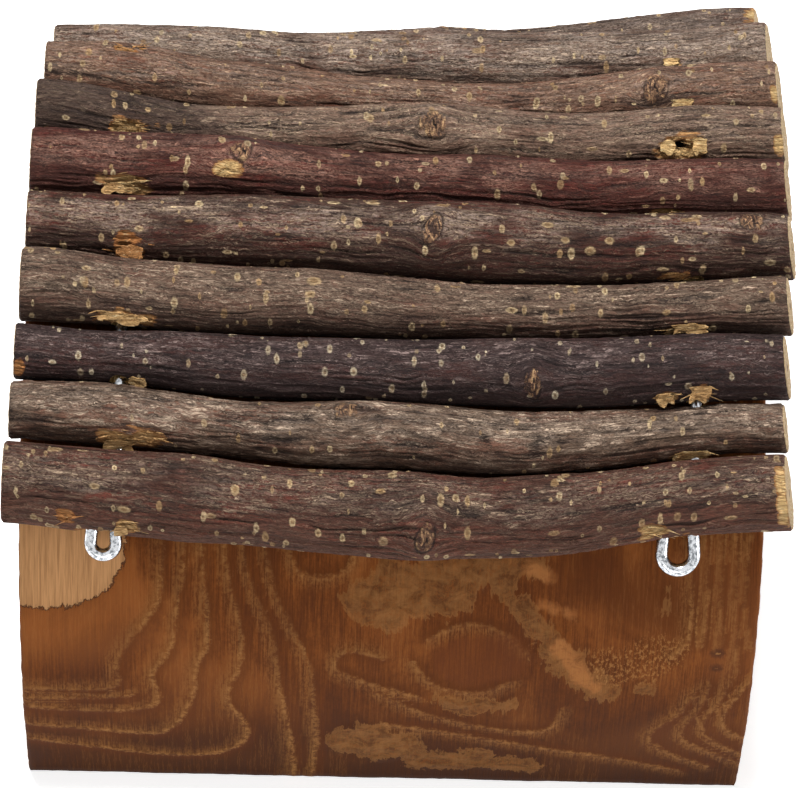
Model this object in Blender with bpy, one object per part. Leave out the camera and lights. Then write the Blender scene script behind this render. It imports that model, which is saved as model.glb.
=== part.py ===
"""A wooden tunnel hideout for a small pet.

A half-round shell of bent wood stands on its two straight edges. A mat of ten
bark-covered branches lies over its crown, drilled and strung on two galvanised
wires. Each wire ends in an eye, bent back into the outermost branch.

The tunnel runs along X. Branches are counted from the front (-Y) to the back.
The origin lies on the floor, below the middle of the crown. Sizes are in metres.
"""

import functools
import math

import bmesh
import bpy
from mathutils import Matrix, Vector

# Shell: a bent board whose outline is a superellipse, nearly a half circle.
SHELL_LENGTH = 0.193
SHELL_WIDTH = 0.200
SHELL_HEIGHT = 0.108
SHELL_WALL = 0.005
SHELL_SHIFT = -0.002
ARCH_EXPONENT = 2.4
ARCH_FACETS = 52

# Branches: laid side by side over the crown, along the tunnel.
BRANCH_LENGTH = 0.200
BRANCH_THICKNESS = 0.018
SEAT_GAP = 0.0003
BRANCH_GAP = 0.0003
BRANCH_SIDES = 18
BRANCH_RINGS = 21

# Stations lie evenly along each branch, this many branch lengths to each side.
STATION_SHARE = 0.48

# Distance round the shell from its front foot to where the front branch sits,
# and the shares of it at the stations, because that branch is crooked.
FRONT_RISE = 0.1045
FRONT_SHARES = (0.995, 0.982, 0.968, 0.951, 0.938, 0.941, 0.958, 0.990, 1.008)

# Thickness of each branch at the stations, front branch first.
THICKNESS_SHARES = (
    (1.23, 1.21, 1.24, 1.23, 1.28, 1.19, 1.16, 1.15, 1.11),
    (0.86, 0.92, 0.86, 0.94, 0.98, 0.95, 0.88, 0.77, 0.75),
    (0.84, 0.80, 0.88, 0.91, 0.94, 0.99, 1.00, 1.02, 0.98),
    (1.10, 1.02, 1.01, 1.02, 0.93, 0.88, 0.85, 0.84, 0.90),
    (0.96, 1.05, 1.15, 1.11, 1.18, 1.21, 1.11, 1.06, 1.01),
    (1.14, 1.12, 1.09, 1.00, 0.96, 0.96, 0.98, 1.01, 1.01),
    (1.05, 0.90, 0.80, 0.87, 0.99, 0.97, 0.97, 1.03, 1.03),
    (1.03, 1.11, 0.98, 0.89, 0.81, 0.81, 0.92, 1.02, 1.10),
    (0.93, 0.99, 1.03, 1.03, 1.06, 1.10, 1.14, 1.17, 1.24),
    (0.79, 0.80, 0.80, 0.82, 0.88, 0.92, 1.05, 1.19, 1.33),
)

# Where each branch is cut off, left and right, in branch lengths from mid length.
END_SHARES = (
    (-0.509, 0.494),
    (-0.504, 0.490),
    (-0.501, 0.491),
    (-0.497, 0.497),
    (-0.495, 0.502),
    (-0.495, 0.501),
    (-0.495, 0.502),
    (-0.490, 0.502),
    (-0.485, 0.498),
    (-0.485, 0.494),
)
END_TILT_LEFT = math.radians(2)
END_TILT_RIGHT = math.radians(9)

# Slow swelling along each branch: how strong, and how many waves it has.
SWELL_SHARE = 0.012
SWELL_WAVES = 2.3
SWELL_STEP = math.radians(133)

# Knots: branch number from the front, place along it in branch lengths from mid
# length, turn from straight up off the shell towards the front, and height.
KNOT_RADIUS = 0.0065
KNOT_HEIGHT = 0.0016
KNOTS_SHARES = (
    (0, 0.035, 0.15, 0.8),
    (1, -0.065, -0.04, 0.7),
    (2, 0.17, 0.06, 1.0),
    (4, 0.03, 0.05, 0.8),
    (4, 0.44, 0.0, 0.6),
    (5, -0.225, -0.05, 1.0),
    (6, 0.03, -0.04, 0.7),
    (7, 0.32, 0.06, 1.0),
    (9, 0.05, -0.05, 1.0),
)

# Wires: one in from each end of the mat, through a drilled hole in every branch.
WIRE_THICKNESS = 0.0034
WIRE_INSET_LEFT = 0.0270
WIRE_INSET_RIGHT = 0.0247
WIRE_HOLE = 0.0050
WIRE_RISE = 0.0082
WIRE_STEP = 0.005
WIRE_SIDES = 8
HOLE_SIDES = 12
HOLE_OVERRUN_SHARE = 1.3

# Eyes: the wire's ends, bent round and back into the outermost branch.
EYE_WIDTHS = (0.0065, 0.0084)
EYE_REACHES = (0.0078, 0.0104)
EYE_LEAN = math.radians(5)
EYE_STEP = math.radians(20)
TAIL_DEPTH = 0.006

# Bark and wood torn out where the drill left each branch, on its lower side.
CHIP_WIDTH = 0.011
CHIP_RISE = 0.014
CHIP_DEPTH = 0.0027
CHIP_SIDES = 12

BARK_ROUGHNESS = 0.85
BOARD_COLOUR = (0.30, 0.115, 0.045)
BOARD_ROUGHNESS = 0.6
WIRE_COLOUR = (0.55, 0.56, 0.57)
WIRE_ROUGHNESS = 0.4
BARK_COLOURS = (
    (0.085, 0.052, 0.048),
    (0.150, 0.115, 0.085),
    (0.062, 0.048, 0.050),
    (0.120, 0.090, 0.082),
    (0.100, 0.078, 0.068),
    (0.085, 0.045, 0.038),
    (0.130, 0.105, 0.088),
    (0.120, 0.070, 0.050),
    (0.130, 0.105, 0.075),
    (0.110, 0.075, 0.055),
)

ARCH_SAMPLES = 600
SOLVE_STEPS = 40
SHARP_ANGLE = math.radians(35)
HALF_TURN = math.pi
FULL_TURN = 2 * math.pi
BRANCHES = len(THICKNESS_SHARES)
WIRE_PLACES = (WIRE_INSET_LEFT - BRANCH_LENGTH / 2, BRANCH_LENGTH / 2 - WIRE_INSET_RIGHT)


def arch_face(turn):
    """Point and outward direction on the shell's outer face, in Y and Z.

    turn runs from 0 at the front foot to half a turn at the back foot.
    """
    half_width = SHELL_WIDTH / 2
    across = math.copysign(abs(math.cos(turn)) ** (2 / ARCH_EXPONENT), -math.cos(turn))
    up = abs(math.sin(turn)) ** (2 / ARCH_EXPONENT)
    slope_across = math.copysign(abs(across) ** (ARCH_EXPONENT - 1), across) / half_width
    slope_up = up ** (ARCH_EXPONENT - 1) / SHELL_HEIGHT
    point = Vector((half_width * across, SHELL_HEIGHT * up))
    return point, Vector((slope_across, slope_up)).normalized()


@functools.lru_cache(maxsize=None)
def arch_table():
    """Turns round the arch, and the distance from the front foot at each."""
    turns = [HALF_TURN * i / ARCH_SAMPLES for i in range(ARCH_SAMPLES + 1)]
    distances = [0.0]
    for before, after in zip(turns, turns[1:]):
        step = (arch_face(after)[0] - arch_face(before)[0]).length
        distances.append(distances[-1] + step)
    return turns, distances


def arch_length():
    return arch_table()[1][-1]


def turn_at(distance):
    """The turn whose distance round the arch is the one given."""
    turns, distances = arch_table()
    low = 0
    high = len(distances) - 1
    while high - low > 1:
        middle = (low + high) // 2
        if distances[middle] > distance:
            high = middle
        else:
            low = middle
    part = (distance - distances[low]) / (distances[high] - distances[low])
    return turns[low] + (turns[high] - turns[low]) * part


def on_arch(distance, rise):
    """Point at a distance round the arch, raised off its outer face."""
    point, outward = arch_face(turn_at(distance))
    return point + outward * rise


def outward_at(distance):
    return arch_face(turn_at(distance))[1]


def forward_at(distance):
    """Direction round the arch towards the front foot."""
    outward = outward_at(distance)
    return Vector((-outward.y, outward.x))


def through(values, place):
    """Smooth curve through evenly spaced values, first to last station along a branch."""
    last = len(values) - 1
    spot = (place / STATION_SHARE + 1) / 2 * last
    spot = min(max(spot, 0), last)
    first = min(int(spot), last - 1)
    part = spot - first
    start, end = values[first], values[first + 1]
    way_in = (end - values[max(first - 1, 0)]) / 2
    way_out = (values[min(first + 2, last)] - start) / 2
    rest = 1 - part
    bent = way_in * rest - way_out * part + (end - start) * (part - rest)
    return start * rest + end * part + part * rest * bent


def half_thickness(number, x):
    """Half the thickness of one branch at x."""
    place = x / BRANCH_LENGTH
    wave = math.sin(FULL_TURN * SWELL_WAVES * place + SWELL_STEP * number)
    share = through(THICKNESS_SHARES[number], place) * (1 + SWELL_SHARE * wave)
    return BRANCH_THICKNESS * share / 2


@functools.lru_cache(maxsize=None)
def seats_at(x):
    """Distance round the arch of each branch's seat at x, front to back.

    Each branch rests on the shell and against the branch in front of it.
    """
    place = x / BRANCH_LENGTH
    seat = FRONT_RISE * through(FRONT_SHARES, place)
    radius = half_thickness(0, x)
    seats = [seat]
    for number in range(1, BRANCHES):
        centre = on_arch(seat, SEAT_GAP + radius)
        next_radius = half_thickness(number, x)
        spacing = radius + next_radius + BRANCH_GAP
        low = seat
        high = seat + 2 * spacing
        for _ in range(SOLVE_STEPS):
            middle = (low + high) / 2
            apart = (on_arch(middle, SEAT_GAP + next_radius) - centre).length
            if apart > spacing:
                high = middle
            else:
                low = middle
        seat = (low + high) / 2
        radius = next_radius
        seats.append(seat)
    return seats


def branch_centre(number, x):
    return on_arch(seats_at(x)[number], SEAT_GAP + half_thickness(number, x))


def wire_path(x, distance):
    """Point on a wire's way over the shell, a little below the branches' middles."""
    point = on_arch(distance, WIRE_RISE)
    return Vector((x, point.x, point.y))


def in_space(direction):
    """A direction in Y and Z as one in X, Y and Z."""
    return Vector((0, direction.x, direction.y))


def new_material(name, colour, roughness, metallic=0.0):
    material = bpy.data.materials.new(name)
    material.use_nodes = True
    shader = material.node_tree.nodes["Principled BSDF"]
    shader.inputs["Base Color"].default_value = (*colour, 1.0)
    shader.inputs["Roughness"].default_value = roughness
    shader.inputs["Metallic"].default_value = metallic
    material.diffuse_color = (*colour, 1.0)
    return material


def new_object(name, shape, material):
    """An object from a finished bmesh, with flat faces kept and round ones smooth."""
    bmesh.ops.recalc_face_normals(shape, faces=shape.faces)
    mesh = bpy.data.meshes.new(name)
    shape.to_mesh(mesh)
    shape.free()
    mesh.materials.append(material)
    body = bpy.data.objects.new(name, mesh)
    bpy.context.scene.collection.objects.link(body)
    smooth(mesh)
    return body


def smooth(mesh):
    mesh.shade_smooth()
    mesh.set_sharp_from_angle(angle=SHARP_ANGLE)


def cut(body, cutters):
    """Take the cutters out of the body, and then delete them."""
    for cutter in cutters:
        cutter.hide_render = True
        cutter.display_type = "WIRE"
        modifier = body.modifiers.new(cutter.name, "BOOLEAN")
        modifier.object = cutter
        modifier.solver = "EXACT"
    graph = bpy.context.evaluated_depsgraph_get()
    mesh = bpy.data.meshes.new_from_object(body.evaluated_get(graph))
    mesh.name = body.name
    body.modifiers.clear()
    body.data = mesh
    smooth(mesh)
    for cutter in cutters:
        bpy.data.objects.remove(cutter)


def make_shell(material):
    """The bent board: a strip between its outer and inner faces, drawn along the tunnel."""
    shape = bmesh.new()
    spacing = arch_length() / ARCH_FACETS
    rows = []
    for i in range(ARCH_FACETS + 1):
        faces = [on_arch(spacing * i, 0), on_arch(spacing * i, -SHELL_WALL)]
        rows.append([shape.verts.new((-SHELL_LENGTH / 2, face.x, face.y)) for face in faces])
    strip = [
        shape.faces.new((before[0], after[0], after[1], before[1]))
        for before, after in zip(rows, rows[1:])
    ]
    drawn = bmesh.ops.extrude_face_region(shape, geom=strip)
    moved = [item for item in drawn["geom"] if isinstance(item, bmesh.types.BMVert)]
    bmesh.ops.translate(shape, verts=moved, vec=(SHELL_LENGTH, 0, 0))
    shell = new_object("arched_shell", shape, material)
    shell.location.x = SHELL_SHIFT
    return shell


def knot_height(number, x, turn, radius):
    """How far knots lift the bark of one branch, at x and a turn from outward."""
    lift = 0.0
    for owner, place_share, turn_share, height_share in KNOTS_SHARES:
        if owner != number:
            continue
        along = x - place_share * BRANCH_LENGTH
        around = radius * math.remainder(turn - turn_share * FULL_TURN, FULL_TURN)
        falloff = math.exp(-(along * along + around * around) / KNOT_RADIUS**2)
        lift += KNOT_HEIGHT * height_share * falloff
    return lift


def branch_ring(shape, number, x, end_slope):
    """One ring of vertices round a branch. A sloped ring follows a slanting saw cut."""
    seat = seats_at(x)[number]
    outward = outward_at(seat)
    forward = forward_at(seat)
    radius = half_thickness(number, x)
    centre = on_arch(seat, SEAT_GAP + radius)
    ring = []
    for i in range(BRANCH_SIDES):
        turn = FULL_TURN * i / BRANCH_SIDES
        reach = radius + knot_height(number, x, turn, radius)
        offset = (outward * math.cos(turn) + forward * math.sin(turn)) * reach
        point = centre + offset
        ring.append(shape.verts.new((x + end_slope * offset.y, point.x, point.y)))
    return ring


def make_branch(number, material):
    """A branch as rings along its length, with a saw cut at each end."""
    shape = bmesh.new()
    left, right = (share * BRANCH_LENGTH for share in END_SHARES[number])
    rings = []
    for i in range(BRANCH_RINGS):
        x = left + (right - left) * i / (BRANCH_RINGS - 1)
        slope = 0.0
        if i == 0:
            slope = math.tan(END_TILT_LEFT)
        elif i == BRANCH_RINGS - 1:
            slope = -math.tan(END_TILT_RIGHT)
        rings.append(branch_ring(shape, number, x, slope))
    for before, after in zip(rings, rings[1:]):
        for i in range(BRANCH_SIDES):
            j = (i + 1) % BRANCH_SIDES
            shape.faces.new((before[i], before[j], after[j], after[i]))
    shape.faces.new(rings[0])
    shape.faces.new(rings[-1])
    middle = branch_centre(number, 0)
    origin = Vector((0, middle.x, middle.y))
    bmesh.ops.translate(shape, verts=shape.verts, vec=-origin)
    branch = new_object(f"branch_{number + 1:02d}", shape, material)
    branch.location = origin
    cut(branch, hole_cutters(number, material))
    return branch


def placed(shape, centre, axis):
    """Turn a cutter's Z axis onto the given one, keep its X axis, and move it."""
    across = Vector((1, 0, 0))
    turned = Matrix((across, axis.cross(across), axis)).transposed().to_4x4()
    bmesh.ops.transform(shape, verts=shape.verts, matrix=Matrix.Translation(centre) @ turned)


def drill_cutter(centre, axis, length, material):
    """A drill's way through a branch, centred on a point."""
    shape = bmesh.new()
    bmesh.ops.create_cone(
        shape,
        cap_ends=True,
        segments=HOLE_SIDES,
        radius1=WIRE_HOLE / 2,
        radius2=WIRE_HOLE / 2,
        depth=length,
    )
    placed(shape, centre, axis)
    return new_object("drill", shape, material)


def chip_cutter(centre, axis, width, material):
    """The torn hollow round a hole's mouth: part of an ellipsoid."""
    shape = bmesh.new()
    bmesh.ops.create_uvsphere(shape, u_segments=CHIP_SIDES, v_segments=CHIP_SIDES // 2 + 1, radius=1)
    bmesh.ops.scale(shape, verts=shape.verts, vec=(width / 2, CHIP_RISE / 2, CHIP_DEPTH))
    placed(shape, centre, axis)
    return new_object("chip", shape, material)


def wire_frame(number, x):
    """Where a wire crosses a branch: mid point, way forward and the branch's half width."""
    seat = seats_at(x)[number]
    return wire_path(x, seat), in_space(forward_at(seat)), half_thickness(number, x)


def eye_offset(side):
    """From the wire's hole to the middle of its eye, where they leave the branch."""
    bulb = EYE_WIDTHS[side] / 2
    return bulb / math.cos(EYE_LEAN) - eye_centre_reach(side) * math.tan(EYE_LEAN)


def eye_centre_reach(side):
    """From the branch's edge to the centre of the eye's round part."""
    return EYE_REACHES[side] - EYE_WIDTHS[side] / 2 - WIRE_THICKNESS / 2


def hole_cutters(number, material):
    """Cutters for both wires' holes in one branch, and for the outer ones' tails."""
    cutters = []
    for side, x in enumerate(WIRE_PLACES):
        centre, forward, half = wire_frame(number, x)
        cutters.append(drill_cutter(centre, forward, 2 * half * HOLE_OVERRUN_SHARE, material))
        mouths = [(forward, number == 0)]
        if number == BRANCHES - 1:
            mouths.append((-forward, True))
        for way, has_eye in mouths:
            shift = eye_offset(side) if has_eye else 0.0
            mouth = centre + way * half
            middle = mouth - Vector((shift, 0, 0))
            cutters.append(chip_cutter(middle, way, CHIP_WIDTH + 2 * shift, material))
            if has_eye:
                tail = mouth - Vector((2 * shift, 0, 0))
                depth = 2 * (TAIL_DEPTH + WIRE_THICKNESS / 2)
                cutters.append(drill_cutter(tail, way, depth, material))
    return cutters


def eye_points(side, mouth, way):
    """The wire from a hole's mouth, round its eye and back into the branch."""
    bulb = EYE_WIDTHS[side] / 2
    middle = eye_offset(side)
    reach = eye_centre_reach(side)
    across = Vector((-1, 0, 0))
    points = [mouth]
    sweep = HALF_TURN + 2 * EYE_LEAN
    count = round(sweep / EYE_STEP)
    for i in range(count + 1):
        turn = sweep * i / count - EYE_LEAN
        side_reach = middle - bulb * math.cos(turn)
        points.append(mouth + across * side_reach + way * (reach + bulb * math.sin(turn)))
    tail = mouth + across * 2 * middle
    return points + [tail, tail - way * TAIL_DEPTH]


def wire_points(side):
    """A wire's whole route: front eye, over the shell through the holes, back eye."""
    x = WIRE_PLACES[side]
    front, forward, front_half = wire_frame(0, x)
    back, back_forward, back_half = wire_frame(BRANCHES - 1, x)
    first, last = seats_at(x)[0], seats_at(x)[-1]
    count = round((last - first) / WIRE_STEP)
    over = [wire_path(x, first + (last - first) * i / count) for i in range(count + 1)]
    front_eye = eye_points(side, front + forward * front_half, forward)
    back_eye = eye_points(side, back - back_forward * back_half, -back_forward)
    return front_eye[::-1] + over + back_eye


def make_wire(name, side, material):
    """A round wire along its route."""
    curve = bpy.data.curves.new(name, "CURVE")
    curve.dimensions = "3D"
    curve.bevel_depth = WIRE_THICKNESS / 2
    curve.bevel_resolution = (WIRE_SIDES - 4) // 2
    curve.use_fill_caps = True
    curve.materials.append(material)
    points = wire_points(side)
    spline = curve.splines.new("POLY")
    spline.points.add(len(points) - 1)
    for slot, point in zip(spline.points, points):
        slot.co = (*point, 1.0)
    wire = bpy.data.objects.new(name, curve)
    bpy.context.scene.collection.objects.link(wire)
    return wire


def clear_scene():
    for old in list(bpy.data.objects):
        bpy.data.objects.remove(old)


def main():
    clear_scene()
    make_shell(new_material("bent_board", BOARD_COLOUR, BOARD_ROUGHNESS))
    mat = bpy.data.objects.new("branch_mat", None)
    bpy.context.scene.collection.objects.link(mat)
    for number, colour in enumerate(BARK_COLOURS):
        bark = new_material(f"bark_{number + 1:02d}", colour, BARK_ROUGHNESS)
        make_branch(number, bark).parent = mat
    zinc = new_material("galvanised_wire", WIRE_COLOUR, WIRE_ROUGHNESS, metallic=1.0)
    for side, name in enumerate(("wire_left", "wire_right")):
        make_wire(name, side, zinc).parent = mat


main()
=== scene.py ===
"""A wooden tunnel hideout: a bent board under a mat of bark-covered branches."""

import functools
import math

import bmesh
import bpy
import numpy as np
from mathutils import Matrix, Vector, noise


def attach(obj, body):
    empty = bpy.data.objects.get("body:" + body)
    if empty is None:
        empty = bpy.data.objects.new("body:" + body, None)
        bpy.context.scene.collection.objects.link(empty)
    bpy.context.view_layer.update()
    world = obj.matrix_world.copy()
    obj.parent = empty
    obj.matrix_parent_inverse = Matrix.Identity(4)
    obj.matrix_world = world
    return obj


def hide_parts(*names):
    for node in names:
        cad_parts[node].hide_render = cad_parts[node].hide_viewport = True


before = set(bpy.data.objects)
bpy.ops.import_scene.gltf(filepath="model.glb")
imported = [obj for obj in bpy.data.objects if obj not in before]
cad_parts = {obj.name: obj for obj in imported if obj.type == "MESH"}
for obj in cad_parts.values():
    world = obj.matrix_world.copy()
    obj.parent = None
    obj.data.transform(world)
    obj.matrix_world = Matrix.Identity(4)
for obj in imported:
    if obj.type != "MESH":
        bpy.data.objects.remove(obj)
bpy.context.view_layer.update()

MM = 0.001
HALF_TURN = math.pi
FULL_TURN = 2 * math.pi

# The bent board, as in the solid model, in metres.
SHELL_LENGTH = 0.193
SHELL_WIDTH = 0.200
SHELL_HEIGHT = 0.108
SHELL_WALL = 0.005
SHELL_SHIFT = -0.002
ARCH_EXPONENT = 2.4
ARCH_SAMPLES = 600
BOARD_COLUMNS = 150
BOARD_ROWS = 270
EDGE_WEAR = 0.3 * MM

# The branches, front to back, as in the solid model.
BRANCH_LENGTH = 0.200
BRANCH_THICKNESS = 0.018
SEAT_GAP = 0.0003
BRANCH_GAP = 0.0003
STATION_SHARE = 0.48
FRONT_RISE = 0.1045
FRONT_SHARES = (0.995, 0.982, 0.968, 0.951, 0.938, 0.941, 0.958, 0.990, 1.008)
THICKNESS_SHARES = (
    (1.23, 1.21, 1.24, 1.23, 1.28, 1.19, 1.16, 1.15, 1.11),
    (0.86, 0.92, 0.86, 0.94, 0.98, 0.95, 0.88, 0.77, 0.75),
    (0.84, 0.80, 0.88, 0.91, 0.94, 0.99, 1.00, 1.02, 0.98),
    (1.10, 1.02, 1.01, 1.02, 0.93, 0.88, 0.85, 0.84, 0.90),
    (0.96, 1.05, 1.15, 1.11, 1.18, 1.21, 1.11, 1.06, 1.01),
    (1.14, 1.12, 1.09, 1.00, 0.96, 0.96, 0.98, 1.01, 1.01),
    (1.05, 0.90, 0.80, 0.87, 0.99, 0.97, 0.97, 1.03, 1.03),
    (1.03, 1.11, 0.98, 0.89, 0.81, 0.81, 0.92, 1.02, 1.10),
    (0.93, 0.99, 1.03, 1.03, 1.06, 1.10, 1.14, 1.17, 1.24),
    (0.79, 0.80, 0.80, 0.82, 0.88, 0.92, 1.05, 1.19, 1.33),
)
END_SHARES = (
    (-0.509, 0.494),
    (-0.504, 0.490),
    (-0.501, 0.491),
    (-0.497, 0.497),
    (-0.495, 0.502),
    (-0.495, 0.501),
    (-0.495, 0.502),
    (-0.490, 0.502),
    (-0.485, 0.498),
    (-0.485, 0.494),
)
END_TILT_LEFT = math.radians(2)
END_TILT_RIGHT = math.radians(12.5)
RIGHT_REACH = 0.0008
SWELL_SHARE = 0.012
SWELL_WAVES = 2.3
SWELL_STEP = math.radians(133)
SOLVE_STEPS = 40
BRANCHES = len(THICKNESS_SHARES)

# Mesh of a branch: rings along it, sides round it, and places where the stack is solved.
BRANCH_RINGS = 320
BRANCH_SIDES = 220
CUT_RINGS = 7
HOLE_SIDES = 20
STACK_REACH = 0.106
STACK_STATIONS = 45

# The wires and their eyes, as in the solid model.
WIRE_THICKNESS = 0.0034
WIRE_INSET_LEFT = 0.0270
WIRE_INSET_RIGHT = 0.0247
WIRE_HOLE = 0.0050
WIRE_RISE = 0.0082
WIRE_PLACES = (WIRE_INSET_LEFT - BRANCH_LENGTH / 2, BRANCH_LENGTH / 2 - WIRE_INSET_RIGHT)
EYE_WIDTHS = (0.0065, 0.0084)
EYE_REACHES = (0.0078, 0.0104)
EYE_LEAN = math.radians(5)
TAIL_DEPTH = 0.006
EYE_STATIONS = 30
WIRE_STATIONS = 150
WIRE_SAG = 0.0007

# The camera: the photograph's, solved from the outline.
CAMERA_PLACE = (-0.0181, -0.5886, 0.9822)
CAMERA_TILT = math.radians(31.96)
CAMERA_TURN = math.radians(-1.82)
CAMERA_ROLL = math.radians(2.88)
CAMERA_LENS = 180.0


def srgb(red, green, blue):
    """A colour as a painter's 0 to 255 values, turned into a shader's."""
    channels = (value / 255 for value in (red, green, blue))
    return tuple(c / 12.92 if c <= 0.04045 else ((c + 0.055) / 1.055) ** 2.4 for c in channels)


# Lamps: name, place, aim, size in metres and power in watts.
WORLD_LEVEL = 0.26
LAMPS = (
    ("high_lamp", (-0.10, 0.42, 1.6), (0, 0, 0.05), 0.5, 36.0),
    ("front_lamp", (-0.15, -1.9, 0.9), (0, 0, 0.05), 1.0, 9.0),
    ("right_lamp", (1.9, -0.5, 0.5), (0, 0, 0.08), 0.7, 13.0),
)
FLOOR_GLOW = 0.6
SWAY = 0.0022

# Bark relief, in metres.
LUMP_HEIGHT = 0.00042
LUMP_ROOM = 0.00045
SIDE_ROOM = 0.00008
CHECK_DEPTH = 0.00012
SPOT_HEIGHT = 0.00016
SPOT_REACH = 2.5
GIRTH_SHARE = 0.035
GIRTH_STEP = 0.019
WANDER = 0.0007
WANDER_STEP = 0.028
KNOT_SWELL = 7.5
FLOW_SHARE = 0.6
SPOT_SEED = 40
SPLINTER_SEED = 90
SPLINTERS_PER_MM = 3.0
TORN_FAR = 3.0
RIM_WEAR = 0.00035
FLAKE_THICKNESS = 0.00035
BARK_SHARE = 0.05
SLANT_SHARE = 0.06
SAW_DEPTH = 0.00018

# Knots: branch, place along in mm, turn towards the front in degrees, size and lift
# in mm, and how many times taller than wide.
KNOTS = (
    (9, 11.0, -9, 3.4, 0.9, 1.0),
    (7, 66.0, 38, 2.6, 0.8, 1.3),
    (6, 6.5, 27, 3.2, 0.9, 1.1),
    (5, -43.5, 5, 3.8, 1.0, 0.8),
    (4, 7.0, 16, 2.4, 0.8, 1.5),
    (4, 90.0, -14, 2.6, 0.7, 0.9),
    (2, 33.0, 34, 2.2, 0.8, 1.7),
    (1, -13.5, -42, 2.8, 0.8, 1.0),
    (0, 6.0, 20, 2.2, 0.9, 1.8),
)

# Single large lenticels and scars: branch, place in mm, turn in degrees and size in mm.
LARGE_SPOTS = (
    (3, -23.5, -12, 1.15),
    (4, 41.0, 20, 0.75),
    (4, 47.5, 34, 0.95),
    (4, 52.5, 18, 0.8),
    (4, 27.0, 30, 0.7),
)

# Torn wood: branch, place in mm, turn in degrees, half length, half height and depth in mm, rustiness.
TORN_PLACES = (
    (7, -75.5, 2, 4.0, 1.5, 0.3, 0.6),
    (6, -73.5, 56, 5.6, 3.0, 1.5, 0.2),
    (5, -73.0, 65, 6.2, 3.4, 1.5, 0.1),
    (4, -72.5, 62, 5.2, 3.4, 1.6, 0.8),
    (3, -72.0, 76, 7.4, 2.8, 0.6, 0.4),
    (2, -69.5, 84, 3.6, 1.8, 1.4, 0.3),
    (1, -69.5, 52, 7.6, 3.2, 0.8, 0.4),
    (0, -85.0, 42, 2.2, 2.2, 0.4, 0.8),
    (0, -76.0, 92, 6.6, 6.0, 3.4, 0.45),
    (0, -69.5, 46, 2.6, 2.6, 0.7, 0.3),
    (5, -47.0, 39, 3.4, 2.1, 0.35, 0.1),
    (8, 72.0, 70, 2.4, 1.5, 0.9, 0.15),
    (7, 73.5, 80, 3.0, 1.5, 0.9, 0.1),
    (6, 73.0, 62, 6.6, 3.4, 1.7, 0.15),
    (5, 70.0, 84, 5.2, 1.6, 1.2, 0.2),
    (4, 70.0, 84, 4.2, 1.8, 1.2, 0.5),
    (3, 71.0, 80, 3.6, 1.6, 0.5, 0.3),
    (2, 67.5, 74, 2.4, 2.4, 0.6, 0.3),
    (2, 76.5, 68, 2.4, 2.8, 0.6, 0.3),
    (1, 73.5, 80, 4.6, 1.8, 0.5, 0.15),
    (0, 65.0, 42, 3.6, 3.0, 0.6, 0.15),
    (0, 71.2, 92, 7.6, 4.4, 3.0, 0.2),
    (6, 99.0, 58, 2.0, 3.6, 0.5, 0.1),
    (7, 99.5, 56, 1.2, 2.6, 0.4, 0.1),
    (0, 97.5, 3, 1.8, 9.5, 0.6, 0.1),
    (9, 98.0, 30, 3.4, 5.2, 0.5, 0.1),
    (2, -99.0, 57, 1.6, 2.8, 0.4, 0.8),
    (9, -76.0, -92, 6.5, 4.6, 3.0, 0.2),
    (9, 71.2, -92, 7.5, 4.6, 3.0, 0.2),
)
# Flakes of bark and wood left standing at torn places: branch, place in mm, turn in degrees,
# half length, half height and lift of the free edge in mm, rustiness.
FLAKES = (
    (8, 72.0, 66, 2.2, 1.0, 1.0, 0.15),
    (7, 73.8, 68, 2.8, 1.3, 1.2, 0.1),
    (6, 69.0, 58, 2.0, 1.6, 1.3, 0.1),
    (6, 77.5, 58, 1.8, 2.0, 1.1, 0.15),
    (5, -76.5, 70, 2.8, 1.2, 1.1, 0.35),
    (4, -71.5, 68, 3.4, 1.7, 1.3, 0.75),
    (3, -72.5, 70, 6.2, 1.5, 1.1, 0.3),
    (3, 74.0, 70, 4.4, 1.3, 1.0, 0.25),
    (2, 67.0, 70, 2.4, 1.5, 1.3, 0.3),
    (2, 76.0, 62, 2.6, 2.2, 1.5, 0.4),
    (2, -68.5, 72, 2.2, 1.4, 1.0, 0.2),
    (1, -72.5, 68, 3.6, 1.5, 1.1, 0.3),
    (1, 74.0, 68, 4.6, 1.5, 1.1, 0.15),
    (0, -71.0, 54, 1.6, 1.6, 1.0, 0.3),
)
# Pits: branch, place in mm, turn in degrees, size and depth in mm; their insides are painted near-black, painted shade
# in the hole.
PITS = (
    (6, 72.6, 60, 2.3, 5.0),
)

STRAW = srgb(216, 182, 126)
RUSTY = srgb(184, 114, 62)
TORN_LIGHT = srgb(238, 218, 172)
TORN_DARK = srgb(128, 90, 52)
TORN_RIM = srgb(138, 84, 46)
KNOT_LIGHT = srgb(126, 94, 70)
KNOT_DARK = srgb(50, 34, 28)
KNOT_PALE = srgb(184, 148, 108)
END_LIGHT = srgb(226, 200, 160)
END_DARK = srgb(202, 168, 126)
END_RAY = srgb(204, 172, 128)
PITH = srgb(120, 84, 56)
ZINC_LIGHT = srgb(222, 224, 227)
# The darker zinc: its own bloom and painted dark reflection.
ZINC_BLOOM_AND_DARK_REFLECTION = srgb(128, 132, 136)


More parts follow.
